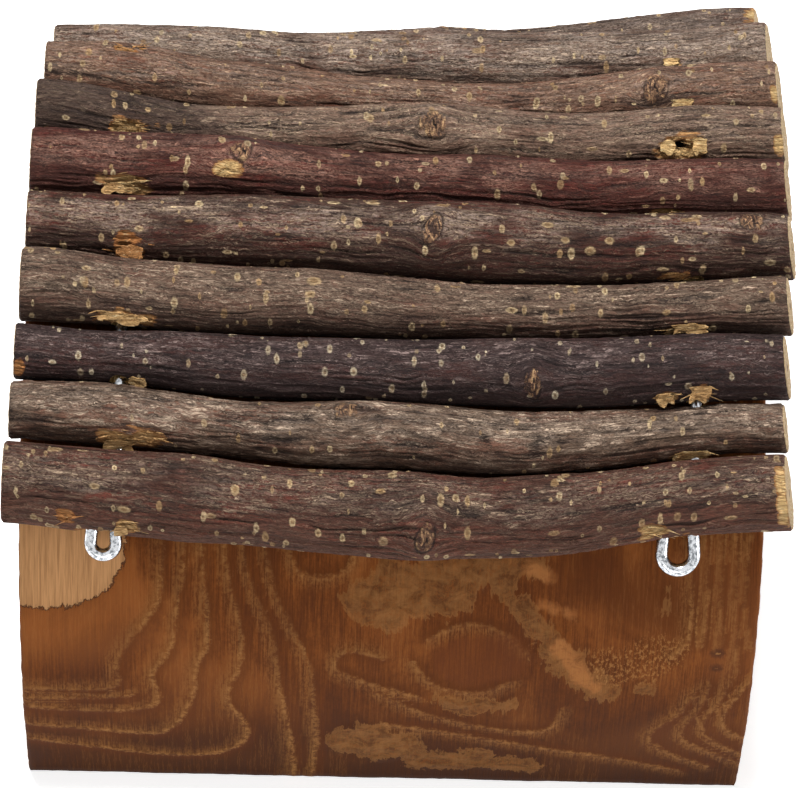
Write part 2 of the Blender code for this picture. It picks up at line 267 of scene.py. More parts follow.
def bark(slot, **changes):
    """One branch's look: a common bark with its own colours and counts."""
    look = {
        "slot": slot,
        # deep: the furrows' dark, and the painted shade in grooves, knot creases and pits.
        "deep": srgb(24, 15, 13),
        "dark": srgb(42, 27, 22),
        "middle": srgb(88, 62, 48),
        # light and lightness: the paler ridges, partly their own tone and partly painted highlight.
        "light": srgb(176, 151, 126),
        "red": srgb(92, 42, 32),
        # grey and greyness: colour and share of the dust and painted sheen on the upper side.
        "grey": srgb(138, 118, 100),
        # under, shade and dusk: the colour, share and reach of the painted shade on the branch's lower side (dusk also
        # moves the upper side's painted sheen); under is also the darker own tone of a branch's left part
        # (left_shade).
        "under": srgb(54, 33, 28),
        "spot": srgb(166, 132, 92),
        "spot_light": srgb(214, 190, 150),
        "spot_core": srgb(132, 100, 64),
        "lightness": 0.95,
        "redness": 0.5,
        "greyness": 0.45,
        "shade": 0.6,
        "dusk": 0.05,
        "flecks": 0.2,
        "spot_strength": 0.9,
        "spots": 210,
        "spot_size": 0.00066,
        "spots_along": 0.1,
        "wrinkle_height": 0.0005,
        "wrinkle_spacing": 0.00115,
        "scales": 0.0,
        "left_shade": 0.0,
        "bump": 0.8,
    }
    look.update(changes)
    return look


# The branches' looks, front to back.
BARKS = (
    bark(
        "bark_red_brown",
        dark=srgb(38, 22, 19),
        middle=srgb(72, 43, 35),
        red=srgb(96, 40, 31),
        grey=srgb(144, 124, 110),
        redness=0.65,
        greyness=0.45,
        # A lighter under colour: painted light on the front branch's lower side.
        under=srgb(124, 84, 68),
        shade=0.4,
        dusk=0.16,
        lightness=0.8,
        spots=340,
        spot_size=0.00076,
    ),
    bark(
        "bark_grey_tan",
        dark=srgb(46, 32, 26),
        middle=srgb(110, 88, 72),
        light=srgb(190, 166, 144),
        red=srgb(116, 44, 30),
        grey=srgb(152, 134, 120),
        under=srgb(64, 42, 34),
        redness=0.35,
        greyness=0.5,
        scales=0.00024,
        wrinkle_height=0.0004,
        spots=70,
        shade=0.5,
        dusk=0.1,
    ),
    bark(
        "bark_dark",
        deep=srgb(20, 13, 14),
        dark=srgb(28, 19, 19),
        middle=srgb(54, 38, 36),
        light=srgb(140, 120, 114),
        grey=srgb(90, 74, 72),
        under=srgb(44, 30, 30),
        spot=srgb(166, 142, 112),
        spot_light=srgb(208, 192, 164),
        redness=0.25,
        dusk=0.14,
        spots=240,
        spot_size=0.0006,
    ),
    bark(
        "bark_grey_brown",
        middle=srgb(104, 80, 67),
        light=srgb(180, 156, 134),
        greyness=0.5,
        redness=0.35,
        shade=0.5,
    ),
    bark(
        "bark_grey_brown",
        dark=srgb(36, 20, 16),
        middle=srgb(66, 40, 32),
        grey=srgb(170, 148, 134),
        under=srgb(60, 38, 32),
        greyness=0.65,
        red=srgb(98, 38, 31),
        redness=0.65,
        spots=260,
        spots_along=0.3,
        spot_size=0.00072,
        shade=0.75,
        dusk=0.24,
    ),
    bark(
        "bark_red_brown",
        dark=srgb(34, 16, 14),
        middle=srgb(72, 38, 31),
        light=srgb(160, 116, 98),
        grey=srgb(168, 130, 114),
        red=srgb(92, 32, 26),
        under=srgb(72, 40, 34),
        redness=0.7,
        greyness=0.55,
        shade=0.75,
        dusk=0.24,
    ),
    bark(
        "bark_grey_brown",
        middle=srgb(126, 99, 83),
        light=srgb(188, 162, 136),
        grey=srgb(150, 132, 118),
        under=srgb(44, 32, 30),
        redness=0.35,
        shade=0.3,
        left_shade=0.75,
    ),
    bark(
        "bark_red_brown",
        dark=srgb(56, 36, 28),
        middle=srgb(118, 84, 66),
        light=srgb(186, 154, 128),
        red=srgb(118, 64, 48),
        grey=srgb(158, 138, 124),
        greyness=0.55,
        shade=0.6,
    ),
    bark(
        "bark_grey_tan",
        dark=srgb(52, 36, 30),
        middle=srgb(110, 86, 71),
        light=srgb(192, 168, 146),
        grey=srgb(186, 168, 154),
        greyness=0.65,
        shade=0.7,
    ),
    bark(
        "bark_grey_tan",
        dark=srgb(48, 34, 28),
        middle=srgb(100, 80, 68),
        light=srgb(174, 152, 134),
        grey=srgb(164, 148, 138),
        shade=0.75,
    ),
)

# The board's wood.
BOARD_DARK = srgb(86, 42, 12)
BOARD_MIDDLE = srgb(140, 78, 30)
BOARD_WARM = srgb(150, 88, 42)
# Painted shade towards the board's foot.
BOARD_PAINTED_LOW_SHADE = srgb(50, 22, 4)
BOARD_LINE = srgb(168, 118, 66)
BOARD_ISLAND = srgb(104, 54, 22)
BOARD_RUST = srgb(178, 114, 62)
BOARD_KNOT = srgb(66, 36, 22)
TORN_BOARD_DARK = srgb(90, 54, 24)
TORN_BOARD_LIGHT = srgb(148, 102, 57)
TAN_LIGHT = srgb(206, 153, 103)
TAN_DARK = srgb(172, 124, 80)
EDGE_LIGHT = srgb(150, 104, 66)
EDGE_DARK = srgb(92, 56, 34)
INNER_LIGHT = srgb(168, 122, 82)
INNER_DARK = srgb(122, 80, 48)
BACK_ARCHES = 6
BACK_HEIGHT = 92
BACK_WIDTH = 6
BACK_STEP = 10
BACK_MIDDLE = -14
BACK_STRAYS = (-93, -86, 62, 74, 81, 88)
LINE_FAR = 9.0

# Grain lines on the board's front: place along the tunnel and distance up from the foot, in mm.
GRAIN_LINES = (
    ((-61, 96), (-62, 79), (-62, 72), (-66, 65), (-72, 56), (-74, 49), (-72, 43), (-79, 41), (-98, 41)),
    ((-70, 39), (-80, 38), (-98, 37)),
    ((-56, 96), (-56, 79), (-58, 69), (-58, 58), (-65, 47), (-62, 41), (-63, 34), (-80, 32), (-98, 34)),
    ((-52, 96), (-51, 82), (-50, 70), (-49, 58), (-53, 51), (-53, 38), (-60, 22), (-71, 23), (-98, 26)),
    ((-46, 96), (-45, 80), (-41, 67), (-40, 52), (-44, 44), (-44, 37), (-38, 26), (-41, 16), (-55, 10), (-98, 19)),
    ((-41, 96), (-40, 81), (-34, 66), (-32, 59), (-31, 48), (-29, 35), (-27, 20), (-26, -2)),
    ((-36, 96), (-34, 80), (-30, 69), (-22, 52), (-22, 42), (-20, 22), (-21, 11), (-22, -2)),
    ((-31, 96), (-28, 84), (-25, 79), (-13, 80), (-10, 92)),
    ((-4, 55), (-11, 58), (-16, 55), (-16, 50), (-8, 46), (6, 41)),
    ((9, 62), (15, 66), (22, 67), (30, 63), (34, 58)),
    ((5, 53), (10, 45), (21, 42), (30, 47)),
    ((-4, 42), (6, 35), (18, 30), (38, 26), (43, 30), (44, 36)),
    ((-2, 29), (14, 26), (30, 22), (45, 18), (56, 16), (78, 9)),
    ((75, 96), (76, 79), (77, 63), (73, 58)),
    ((79, 96), (81, 70), (80, 62)),
    ((83, 96), (84, 75), (85, 62)),
    ((87, 96), (88, 75), (90, 53)),
    ((91, 96), (90, 75), (93, 62)),
    ((79, 44), (76, 36), (70, 30), (68, 24), (76, 17), (85, 12)),
    ((83, 47), (81, 37), (77, 31), (77, 25), (84, 20), (95, 13)),
    ((89, 50), (85, 39), (82, 33), (83, 27), (89, 22), (96, 17)),
    ((94, 50), (89, 41), (87, 35), (89, 29), (97, 25)),
)

# Marks on the board, each made of rounded strips: both ends' places and the radius, in mm.
BOARD_PATCHES = {
    "tan": ((-102, 87, -89, 87, 18),),
    "torn": (
        (-9, 74, -2, 68, 4.5),
        (-5, 73, 14, 76, 6),
        (-3, 80, 10, 82, 4),
        (10, 79, 24, 83, 5),
        (22, 82, 36, 68, 2.6),
        (35, 68, 46, 57, 2.4),
        (40, 58, 53, 46, 3.6),
        (51, 47, 56, 44, 3),
        (-11, 21, -6, 23, 6),
        (-4, 18, 2, 19, 6),
        (8, 11, 24, 13, 4),
        (22, 12, 38, 9, 3),
        (12, 40, 20, 37, 1.4),
        (20, 38, 31, 39, 1.8),
        (31, 87, 36, 83, 2.6),
        (65, 46, 67, 46, 1.4),
        (70, 79, 70, 73, 0.8),
    ),
    "rusty": ((35, 83, 39, 81, 2.2), (38, 73, 45, 70, 1.8), (43, 60, 50, 49, 3.0), (52, 47, 53, 46, 2.2)),
    "island": ((18, 54, 27, 56, 8),),
    "mottled": ((57, 53, 70, 57, 7),),
    "knots": ((84, 59, 85, 59, 1.2), (84, 54, 85, 54, 1.0)),
    "shade": ((50, 82, 72, 70, 9), (-66, 18, -16, 22, 8)),
    "warm": ((-98, 62, -72, 66, 10), (-60, 60, -52, 40, 4), (80, 84, 90, 60, 8), (58, 16, 84, 26, 7)),
}


def arch_face(turn):
    """Point and outward direction on the board's outer face, in Y and Z."""
    half_width = SHELL_WIDTH / 2
    across = math.copysign(abs(math.cos(turn)) ** (2 / ARCH_EXPONENT), -math.cos(turn))
    up = abs(math.sin(turn)) ** (2 / ARCH_EXPONENT)
    slope_across = math.copysign(abs(across) ** (ARCH_EXPONENT - 1), across) / half_width
    slope_up = up ** (ARCH_EXPONENT - 1) / SHELL_HEIGHT
    point = Vector((half_width * across, SHELL_HEIGHT * up))
    return point, Vector((slope_across, slope_up)).normalized()


@functools.lru_cache(maxsize=None)
def arch_table():
    """Turns round the arch, and the distance from the front foot at each."""
    turns = [HALF_TURN * i / ARCH_SAMPLES for i in range(ARCH_SAMPLES + 1)]
    distances = [0.0]
    for before, after in zip(turns, turns[1:]):
        distances.append(distances[-1] + (arch_face(after)[0] - arch_face(before)[0]).length)
    return turns, distances


def arch_length():
    return arch_table()[1][-1]


def turn_at(distance):
    turns, distances = arch_table()
    return float(np.interp(distance, distances, turns))


def on_arch(distance, rise):
    point, outward = arch_face(turn_at(distance))
    return point + outward * rise


def outward_at(distance):
    return arch_face(turn_at(distance))[1]


def forward_at(distance):
    outward = outward_at(distance)
    return Vector((-outward.y, outward.x))


def through(values, place):
    """Smooth curve through evenly spaced values, first to last station along a branch."""
    last = len(values) - 1
    spot = (place / STATION_SHARE + 1) / 2 * last
    spot = min(max(spot, 0), last)
    first = min(int(spot), last - 1)
    part = spot - first
    start, end = values[first], values[first + 1]
    way_in = (end - values[max(first - 1, 0)]) / 2
    way_out = (values[min(first + 2, last)] - start) / 2
    rest = 1 - part
    bent = way_in * rest - way_out * part + (end - start) * (part - rest)
    return start * rest + end * part + part * rest * bent


def half_thickness(number, x):
    place = x / BRANCH_LENGTH
    wave = math.sin(FULL_TURN * SWELL_WAVES * place + SWELL_STEP * number)
    share = through(THICKNESS_SHARES[number], place) * (1 + SWELL_SHARE * wave)
    return BRANCH_THICKNESS * share / 2


@functools.lru_cache(maxsize=None)
def seats_at(x):
    """Distance round the arch of each branch's seat at x, front to back."""
    seat = FRONT_RISE * through(FRONT_SHARES, x / BRANCH_LENGTH)
    radius = half_thickness(0, x)
    seats = [seat]
    for number in range(1, BRANCHES):
        centre = on_arch(seat, SEAT_GAP + radius)
        next_radius = half_thickness(number, x)
        spacing = radius + next_radius + BRANCH_GAP
        low, high = seat, seat + 2 * spacing
        for _ in range(SOLVE_STEPS):
            middle = (low + high) / 2
            apart = (on_arch(middle, SEAT_GAP + next_radius) - centre).length
            low, high = (low, middle) if apart > spacing else (middle, high)
        seat, radius = (low + high) / 2, next_radius
        seats.append(seat)
    return seats


def make_camera():
    data = bpy.data.cameras.new("camera")
    data.lens = CAMERA_LENS
    data.clip_start = 0.05
    camera = bpy.data.objects.new("camera", data)
    bpy.context.scene.collection.objects.link(camera)
    turned = (
        Matrix.Rotation(CAMERA_TURN, 4, "Z")
        @ Matrix.Rotation(CAMERA_TILT, 4, "X")
        @ Matrix.Rotation(CAMERA_ROLL, 4, "Z")
    )
    camera.matrix_world = Matrix.Translation(CAMERA_PLACE) @ turned
    bpy.context.scene.camera = camera
    bpy.context.scene.view_settings.view_transform = "Standard"


class Net:
    """A material's nodes, added by short calls that return sockets."""

    def __init__(self, name):
        self.material = bpy.data.materials.new(name)
        self.material.use_nodes = True
        self.tree = self.material.node_tree
        self.shader = self.tree.nodes["Principled BSDF"]

    def feed(self, socket, value):
        if isinstance(value, bpy.types.NodeSocket):
            self.tree.links.new(value, socket)
        elif isinstance(value, tuple) and len(value) == 3 and socket.type == "RGBA":
            socket.default_value = (*value, 1.0)
        else:
            socket.default_value = value

    def add(self, kind, *values, **settings):
        node = self.tree.nodes.new("ShaderNode" + kind)
        inputs = {key[3:]: settings.pop(key) for key in list(settings) if key.startswith("in_")}
        for key, value in settings.items():
            setattr(node, key, value)
        for socket, value in zip(node.inputs, values):
            if value is not None:
                self.feed(socket, value)
        for key, value in inputs.items():
            self.feed(node.inputs[key.replace("_", " ")], value)
        return node

    def math(self, operation, *values, clamp=False):
        return self.add("Math", *values, operation=operation, use_clamp=clamp).outputs[0]

    def sum(self, *values):
        total = values[0]
        for value in values[1:]:
            total = self.math("ADD", total, value)
        return total

    def times(self, a, b):
        return self.math("MULTIPLY", a, b)

    def smooth(self, value, low, high):
        """0 below low, 1 above high, and smooth between; the other way if low > high."""
        node = self.add("MapRange", value, interpolation_type="SMOOTHSTEP")
        self.feed(node.inputs["From Min"], min(low, high))
        self.feed(node.inputs["From Max"], max(low, high))
        self.feed(node.inputs["To Min"], 0.0 if low < high else 1.0)
        self.feed(node.inputs["To Max"], 1.0 if low < high else 0.0)
        return node.outputs[0]

    def spread(self, value, low, high, bottom, top):
        return self.add("MapRange", value, low, high, bottom, top).outputs[0]

    def mix(self, share, a, b, blend="MIX"):
        node = self.add("Mix", data_type="RGBA", blend_type=blend)
        self.feed(node.inputs[0], share)
        self.feed(node.inputs[6], a)
        self.feed(node.inputs[7], b)
        return node.outputs[2]

    def place(self, source, scale=(1, 1, 1), shift=(0, 0, 0)):
        node = self.add("Mapping", source)
        node.inputs["Scale"].default_value = scale
        node.inputs["Location"].default_value = shift
        return node.outputs[0]

    def attribute(self, name, output="Vector"):
        return self.add("Attribute", attribute_name=name).outputs[output]

    def noise(self, place, detail=3.0, rough=0.5, distort=0.0):
        node = self.add("TexNoise", place)
        node.inputs["Scale"].default_value = 1.0
        node.inputs["Detail"].default_value = detail
        node.inputs["Roughness"].default_value = rough
        node.inputs["Distortion"].default_value = distort
        return node.outputs[0]

    def bump(self, height, depth, strength=1.0, normal=None):
        node = self.add("Bump")
        node.inputs["Strength"].default_value = strength
        node.inputs["Distance"].default_value = depth
        self.feed(node.inputs["Height"], height)
        if normal is not None:
            self.feed(node.inputs["Normal"], normal)
        return node.outputs[0]

    def finish(self, colour=None, roughness=None, normal=None):
        for name, value in (("Base Color", colour), ("Roughness", roughness), ("Normal", normal)):
            if value is not None:
                self.feed(self.shader.inputs[name], value)
        return self.material


def new_piece(name, shape, material, smooth=True):
    mesh = bpy.data.meshes.new(name)
    shape.to_mesh(mesh)
    shape.free()
    mesh.materials.append(material)
    if smooth:
        mesh.shade_smooth()
    piece = bpy.data.objects.new(name, mesh)
    bpy.context.scene.collection.objects.link(piece)
    return piece


def soft_noise(points, seed):
    """Smooth random values from -1 to 1 at rows of points, one lump to a unit."""
    cells = np.floor(points).astype(np.int64)
    part = points - cells
    part = part * part * (3 - 2 * part)
    shares = (1 - part, part)
    total = np.zeros(len(points))
    for i, j, k in np.ndindex(2, 2, 2):
        key = (cells[:, 0] + i) * 73856093 + (cells[:, 1] + j) * 19349663
        key += (cells[:, 2] + k) * 83492791 + seed * 265443576
        key = (key ^ (key >> 15)) * 2246822519 & 0xFFFFFFFF
        key = (key ^ (key >> 13)) * 3266489917 & 0xFFFFFFFF
        value = (key ^ (key >> 16)) / 2**31 - 1
        total += value * shares[i][:, 0] * shares[j][:, 1] * shares[k][:, 2]
    return total


def smooth_step(values, low, high):
    share = np.clip((values - low) / (high - low), 0, 1)
    return share * share * (3 - 2 * share)


def read_points(mesh):
    flat = np.empty(len(mesh.vertices) * 3, dtype=np.float32)
    mesh.vertices.foreach_get("co", flat)
    return flat.reshape(-1, 3).astype(float)


def write_points(mesh, points):
    mesh.vertices.foreach_set("co", points.astype(np.float32).ravel())
    mesh.update()


def write_values(mesh, name, values):
    """Store one number or one vector for each vertex under a name."""
    kind = "FLOAT_VECTOR" if values.ndim == 2 else "FLOAT"
    layer = mesh.attributes.new(name, kind, "POINT")
    layer.data.foreach_set("vector" if values.ndim == 2 else "value", values.astype(np.float32).ravel())


@functools.lru_cache(maxsize=None)
def stack_places():
    return np.linspace(-STACK_REACH, STACK_REACH, STACK_STATIONS)


@functools.lru_cache(maxsize=None)
def stack_table(number):
    """Along X: a branch's centre and outward direction, each in Y and Z, and its radius."""
    rows = []
    for x in stack_places():
        seat = seats_at(float(x))[number]
        radius = half_thickness(number, float(x))
        centre = on_arch(seat, SEAT_GAP + radius)
        outward = outward_at(seat)
        rows.append((centre.x, centre.y, outward.x, outward.y, radius))
    return np.array(rows)


def branch_frame(number, x):
    """Centres, outward and forward directions in Y and Z, and radii, at an array of places."""
    columns = [np.interp(x, stack_places(), column) for column in stack_table(number).T]
    centre = np.stack(columns[:2], axis=1)
    outward = np.stack(columns[2:4], axis=1)
    outward /= np.linalg.norm(outward, axis=1, keepdims=True)
    forward = np.stack((-outward[:, 1], outward[:, 0]), axis=1)
    row = np.full(len(x), 3.7 * number)
    uneven = soft_noise(np.stack((x / GIRTH_STEP, row, row), axis=1), 3)
    radius = columns[4] * (1 + GIRTH_SHARE * (uneven - 0.5))
    wander = soft_noise(np.stack((x / WANDER_STEP, row, row), axis=1), 4)
    centre = centre + forward * (WANDER * wander)[:, None]
    return centre, outward, forward, radius


def branch_point(number, x, turn, rise=0.0):
    """A point on a branch's bark, or risen off it, with the direction away from the branch."""
    centre, outward, forward, radius = (item[0] for item in branch_frame(number, np.array([x])))
    away = outward * math.cos(turn) + forward * math.sin(turn)
    point = centre + away * (radius + rise)
    return Vector((x, *point)), Vector((0, *away))


def tube_net():
    """A closed tube of unit length and radius on X, with end faces of several rings."""
    columns = BRANCH_RINGS + 2 * CUT_RINGS
    shape = bmesh.new()
    bmesh.ops.create_grid(shape, x_segments=columns, y_segments=BRANCH_SIDES, size=1)
    for vert in shape.verts:
        column = round((vert.co.x + 1) / 2 * columns)
        turn = HALF_TURN * vert.co.y
        ring = min(column, columns - column, CUT_RINGS)
        reach = ring / CUT_RINGS
        vert.co = (column, reach * math.cos(turn), reach * math.sin(turn))
    bmesh.ops.remove_doubles(shape, verts=shape.verts, dist=0.0001)
    bmesh.ops.recalc_face_normals(shape, faces=shape.faces)
    mesh = bpy.data.meshes.new("tube net")
    shape.to_mesh(mesh)
    shape.free()
    return mesh


def ellipse_reach(x, around, place, half_length, half_height):
    """Distance from an oval's middle, 1 on its rim; places are x and distance round."""
    return np.hypot((x - place[0]) / half_length, (around - place[1]) / half_height)


def wrapped(distance, round_length):
    """Distance round a branch, brought to the shorter way."""
    return (distance + round_length / 2) % round_length - round_length / 2


def nearest_spots(number, x, turn, radius, look):
    """Nearness of each vertex to its nearest lenticel, 0 to 1, and that lenticel's tone."""
    pick = np.random.default_rng(SPOT_SEED + number)
    near = np.zeros(len(x))
    tone = np.zeros(len(x))
    left, right = (share * BRANCH_LENGTH for share in END_SHARES[number])
    spots = [
        (place * MM, math.radians(spot_turn), size * MM, 0.8, 0.35)
        for owner, place, spot_turn, size in LARGE_SPOTS
        if owner == number
    ]
    for _ in range(look["spots"]):
        size = look["spot_size"] * pick.choice((0.55, 0.75, 1.0, 1.25), p=(0.25, 0.3, 0.3, 0.15))
        stretch = pick.uniform(1.3, 2.6)
        if pick.uniform() < look["spots_along"]:
            stretch = 1 / stretch
        spots.append((pick.uniform(left, right), pick.uniform(-HALF_TURN, HALF_TURN), size, stretch, pick.uniform()))
    for place, spot_turn, size, stretch, spot_tone in spots:
        touched = np.abs(x - place) < SPOT_REACH * size * 1.6
        around = wrapped((turn[touched] - spot_turn) * radius[touched], FULL_TURN * radius[touched])
        root = math.sqrt(stretch)
        reach = np.hypot((x[touched] - place) * root / size, around / size / root)
        nearness = np.clip(1 - reach / SPOT_REACH, 0, 1)
        closer = nearness > near[touched]
        rows = np.flatnonzero(touched)[closer]
        near[rows] = nearness[closer]
        tone[rows] = spot_tone
    return near, tone


def bark_relief(number, x, turn, radius, look):
    """Height of the bark in metres and the marks left on it, for rows of vertices."""
    flow = turn.copy()
    for owner, place, knot_turn, size, _, tallness in KNOTS:
        if owner != number:
            continue
        aside = wrapped(turn - math.radians(knot_turn), FULL_TURN)
        reach = np.hypot(x - place * MM, aside * radius / tallness) / (size * MM)
        flow -= aside * FLOW_SHARE * np.exp(-((reach / 2.2) ** 2))
    ring_place = np.stack((x, radius * np.cos(flow), radius * np.sin(flow)), axis=1)
    seed = 11 * number
    drift = 0.0011 * soft_noise(ring_place * (45, 60, 60), seed + 1)
    drift += 0.0006 * soft_noise(ring_place * (160, 260, 260), seed + 2)
    wandering = ring_place + np.stack((0 * drift, drift, -drift), axis=1)
    spacing = look["wrinkle_spacing"]
    across = 1 / spacing
    broad = 1 - np.abs(soft_noise(wandering * (across / 30, across, across), seed + 3)) * 2.4
    across = 1.7 / spacing
    fine = 1 - np.abs(soft_noise(wandering * (across / 22, across, across), seed + 4)) * 2.4
    wrinkle = 0.5 * broad + 0.5 * fine
    patch = soft_noise(ring_place * (38, 110, 110), seed + 5)
    height = look["wrinkle_height"] * wrinkle * (0.75 + 0.35 * patch)
    swell = soft_noise(ring_place * (22, 75, 75), seed + 6) + 0.5 * soft_noise(ring_place * (60, 150, 150), seed + 7)
    height += LUMP_HEIGHT * (swell - 0.75)
    if look["scales"]:
        crust = soft_noise(ring_place * (330, 560, 560), seed + 8)
        height += look["scales"] * np.clip(crust, -0.4, 1)
        wrinkle = wrinkle + 0.8 * crust
    cross = soft_noise(ring_place * (520, 130, 130), seed + 9)
    height -= CHECK_DEPTH * smooth_step(cross, 0.55, 0.8)
    knot = np.zeros(len(x))
    for owner, place, knot_turn, size, lift, tallness in KNOTS:
        if owner != number:
            continue
        around = wrapped((turn - math.radians(knot_turn)) * radius, FULL_TURN * radius) / tallness
        reach = np.hypot(x - place * MM, around) / (size * MM)
        uneven = reach + 0.2 * soft_noise(ring_place * 420, seed + 10)
        uneven += 0.6 * soft_noise(ring_place * (230, 210, 210), seed + 14)
        flesh = soft_noise(ring_place * (820, 820, 820), seed + 17)
        inside = 1 - smooth_step(uneven, 0.55, 1.0)
        crease = np.exp(-((uneven - 1.0) / 0.14) ** 2)
        leaning = (x - place * MM) - 0.35 * around - 0.2 * size * MM
        pit = np.exp(-((leaning / (0.13 * size * MM)) ** 2) - (around / (0.42 * size * MM)) ** 2)
        height += lift * MM * (0.55 * np.exp(-((reach / 1.5) ** 2)) + inside * (0.2 + 0.6 * flesh))
        height -= lift * MM * (0.4 * crease + 0.9 * pit)
        height += lift * MM * np.exp(-((reach * size / KNOT_SWELL) ** 2))
        knot = np.maximum(knot, np.clip(1.6 - uneven, 0, 1.6) / 1.6)
        knot = np.where(pit > 0.4, 1.0, np.minimum(knot, 0.8))
    near, tone = nearest_spots(number, x, turn, radius, look)
    near = np.clip(near + 0.07 * soft_noise(ring_place * 1500, seed + 15) * (near > 0), 0, 1)
    reach = (1 - near) * SPOT_REACH
    height += SPOT_HEIGHT * (np.exp(-((reach - 0.8) / 0.35) ** 2) - 0.6 * np.exp(-((reach / 0.4) ** 2)))
    height = np.where(height > LUMP_ROOM, LUMP_ROOM + 0.35 * (height - LUMP_ROOM), height)
    side = np.abs(np.sin(turn)) ** 8
    height = height - side * np.clip(height - SIDE_ROOM, 0, None)
    torn = np.full(len(x), TORN_FAR)
    torn_tone = np.zeros(len(x))
    for owner, place, torn_turn, half_length, half_height, depth, wound_tone in TORN_PLACES:
        if owner != number:
            continue
        around = wrapped((turn - math.radians(torn_turn)) * radius, FULL_TURN * radius)
        reach = np.abs((x / MM - place) / half_length) ** 3 + np.abs(around / MM / half_height) ** 3
        reach = np.cbrt(reach)
        ragged = reach + 0.2 * soft_noise(ring_place * (300, 1100, 1100), seed + 12)
        ragged += 0.5 * soft_noise(ring_place * (260, 380, 380), seed + 16)
        fibre = soft_noise(ring_place * (190, 1500, 1500), seed + 13)
        hollow = 1 - smooth_step(ragged, 0.35, 1.0)
        height = height - hollow * (depth * MM + 0.00014 * fibre)
        closer = ragged < torn
        torn = np.where(closer, ragged, torn)
        torn_tone = np.where(closer, wound_tone, torn_tone)
    for owner, place, pit_turn, size, depth in PITS:
        if owner != number:
            continue
        around = wrapped((turn - math.radians(pit_turn)) * radius, FULL_TURN * radius)
        reach = np.hypot(x - place * MM, around) / (size * MM)
        height = height - depth * MM * (1 - smooth_step(reach, 0.3, 1.0))
        # Inside the pit the knot mark is full, so the bark paints it near-black: painted shade.
        torn = np.where(reach < 0.75, TORN_FAR, torn)
        knot = np.where(reach < 0.75, 1.0, knot)
    marks = {"wrinkle": wrinkle, "spot": near, "spot_tone": tone, "knot": knot}
    marks.update({"torn": np.clip(torn, 0, TORN_FAR), "torn_tone": torn_tone})
    return height, flow, marks


def make_branch(number, net):
    """A branch with its bark, sawn ends, drilled holes and torn wood."""
    look = BARKS[number]
    mesh = net.copy()
    mesh.name = f"bark_branch_{number + 1}"
    flat = read_points(mesh)
    columns = BRANCH_RINGS + 2 * CUT_RINGS
    column = np.rint(flat[:, 0])
    turn = np.arctan2(flat[:, 2], flat[:, 1])
    reach = np.hypot(flat[:, 1], flat[:, 2])
    left, right = (share * BRANCH_LENGTH for share in END_SHARES[number])
    along = np.clip((column - CUT_RINGS) / BRANCH_RINGS, 0, 1)
    x = left + (right - left) * along
    centre, outward, forward, radius = branch_frame(number, x)
    height, flow, marks = bark_relief(number, x, turn, radius, look)
    sawn = (reach < 0.999).astype(float)
    rim = (reach > 0.999) & ((along == 0) | (along == 1))
    height = np.where(rim, height - RIM_WEAR, height)
    away = outward * np.cos(turn)[:, None] + forward * np.sin(turn)[:, None]
    true_reach = np.where(sawn > 0, reach * (CUT_RINGS / (CUT_RINGS - 1)) * (1 - BARK_SHARE), 1.0)
    true_reach = np.where(reach < 0.001, 0.0, true_reach)
    offset = away * ((radius + height) * true_reach)[:, None]
    slope = math.tan(END_TILT_LEFT) * (1 - smooth_step(along, 0, SLANT_SHARE))
    slope -= math.tan(END_TILT_RIGHT) * smooth_step(along, 1 - SLANT_SHARE, 1)
    inward = np.where(along < 0.5, 1, -1)
    x = x + RIGHT_REACH * smooth_step(along, 1 - SLANT_SHARE, 1)
    inner_radius = radius * true_reach
    ring_place = np.stack((x, inner_radius * np.cos(flow), inner_radius * np.sin(flow)), axis=1)
    saw_marks = SAW_DEPTH * soft_noise(ring_place * (1, 1700, 500), 5 + number)
    x = x + slope * offset[:, 1] + inward * np.where(sawn > 0, np.abs(saw_marks), 0)
    x = x + inward * np.where(sawn > 0, 0, rim * RIM_WEAR)
    write_points(mesh, np.column_stack((x, centre + offset)))
    write_values(mesh, "place", ring_place)
    write_values(mesh, "sawn", sawn)
    # upward: how far the surface faces up, which sets the painted shade of the lower side and the dust and painted
    # sheen of the upper side.
    write_values(mesh, "upward", away[:, 1])
    for name, values in marks.items():
        write_values(mesh, name, values)
    mesh.materials.append(bark_material(number, look))
    mesh.shade_smooth()
    branch = bpy.data.objects.new(mesh.name, mesh)
    bpy.context.scene.collection.objects.link(branch)
    drill(branch, number)
    add_splinters(branch, number)
    return branch


def wire_frame(number, x):
    """Where a wire crosses a branch: mid point, way forward and the branch's half width."""
    seat = seats_at(x)[number]
    point = on_arch(seat, WIRE_RISE)
    forward = forward_at(seat)
    return Vector((x, point.x, point.y)), Vector((0, forward.x, forward.y)), half_thickness(number, x)


def drill_cutter(centre, axis, length):
    shape = bmesh.new()
    across = Vector((1, 0, 0))
    turned = Matrix((across, axis.cross(across), axis)).transposed().to_4x4()
    bmesh.ops.create_cone(
        shape,
        cap_ends=True,
        segments=HOLE_SIDES,
        radius1=WIRE_HOLE / 2,
        radius2=WIRE_HOLE / 2,
        depth=length,
        matrix=Matrix.Translation(centre) @ turned,
    )
    bmesh.ops.recalc_face_normals(shape, faces=shape.faces)
    mesh = bpy.data.meshes.new("drill")
    shape.to_mesh(mesh)
    shape.free()
    cutter = bpy.data.objects.new("drill", mesh)
    bpy.context.scene.collection.objects.link(cutter)
    return cutter


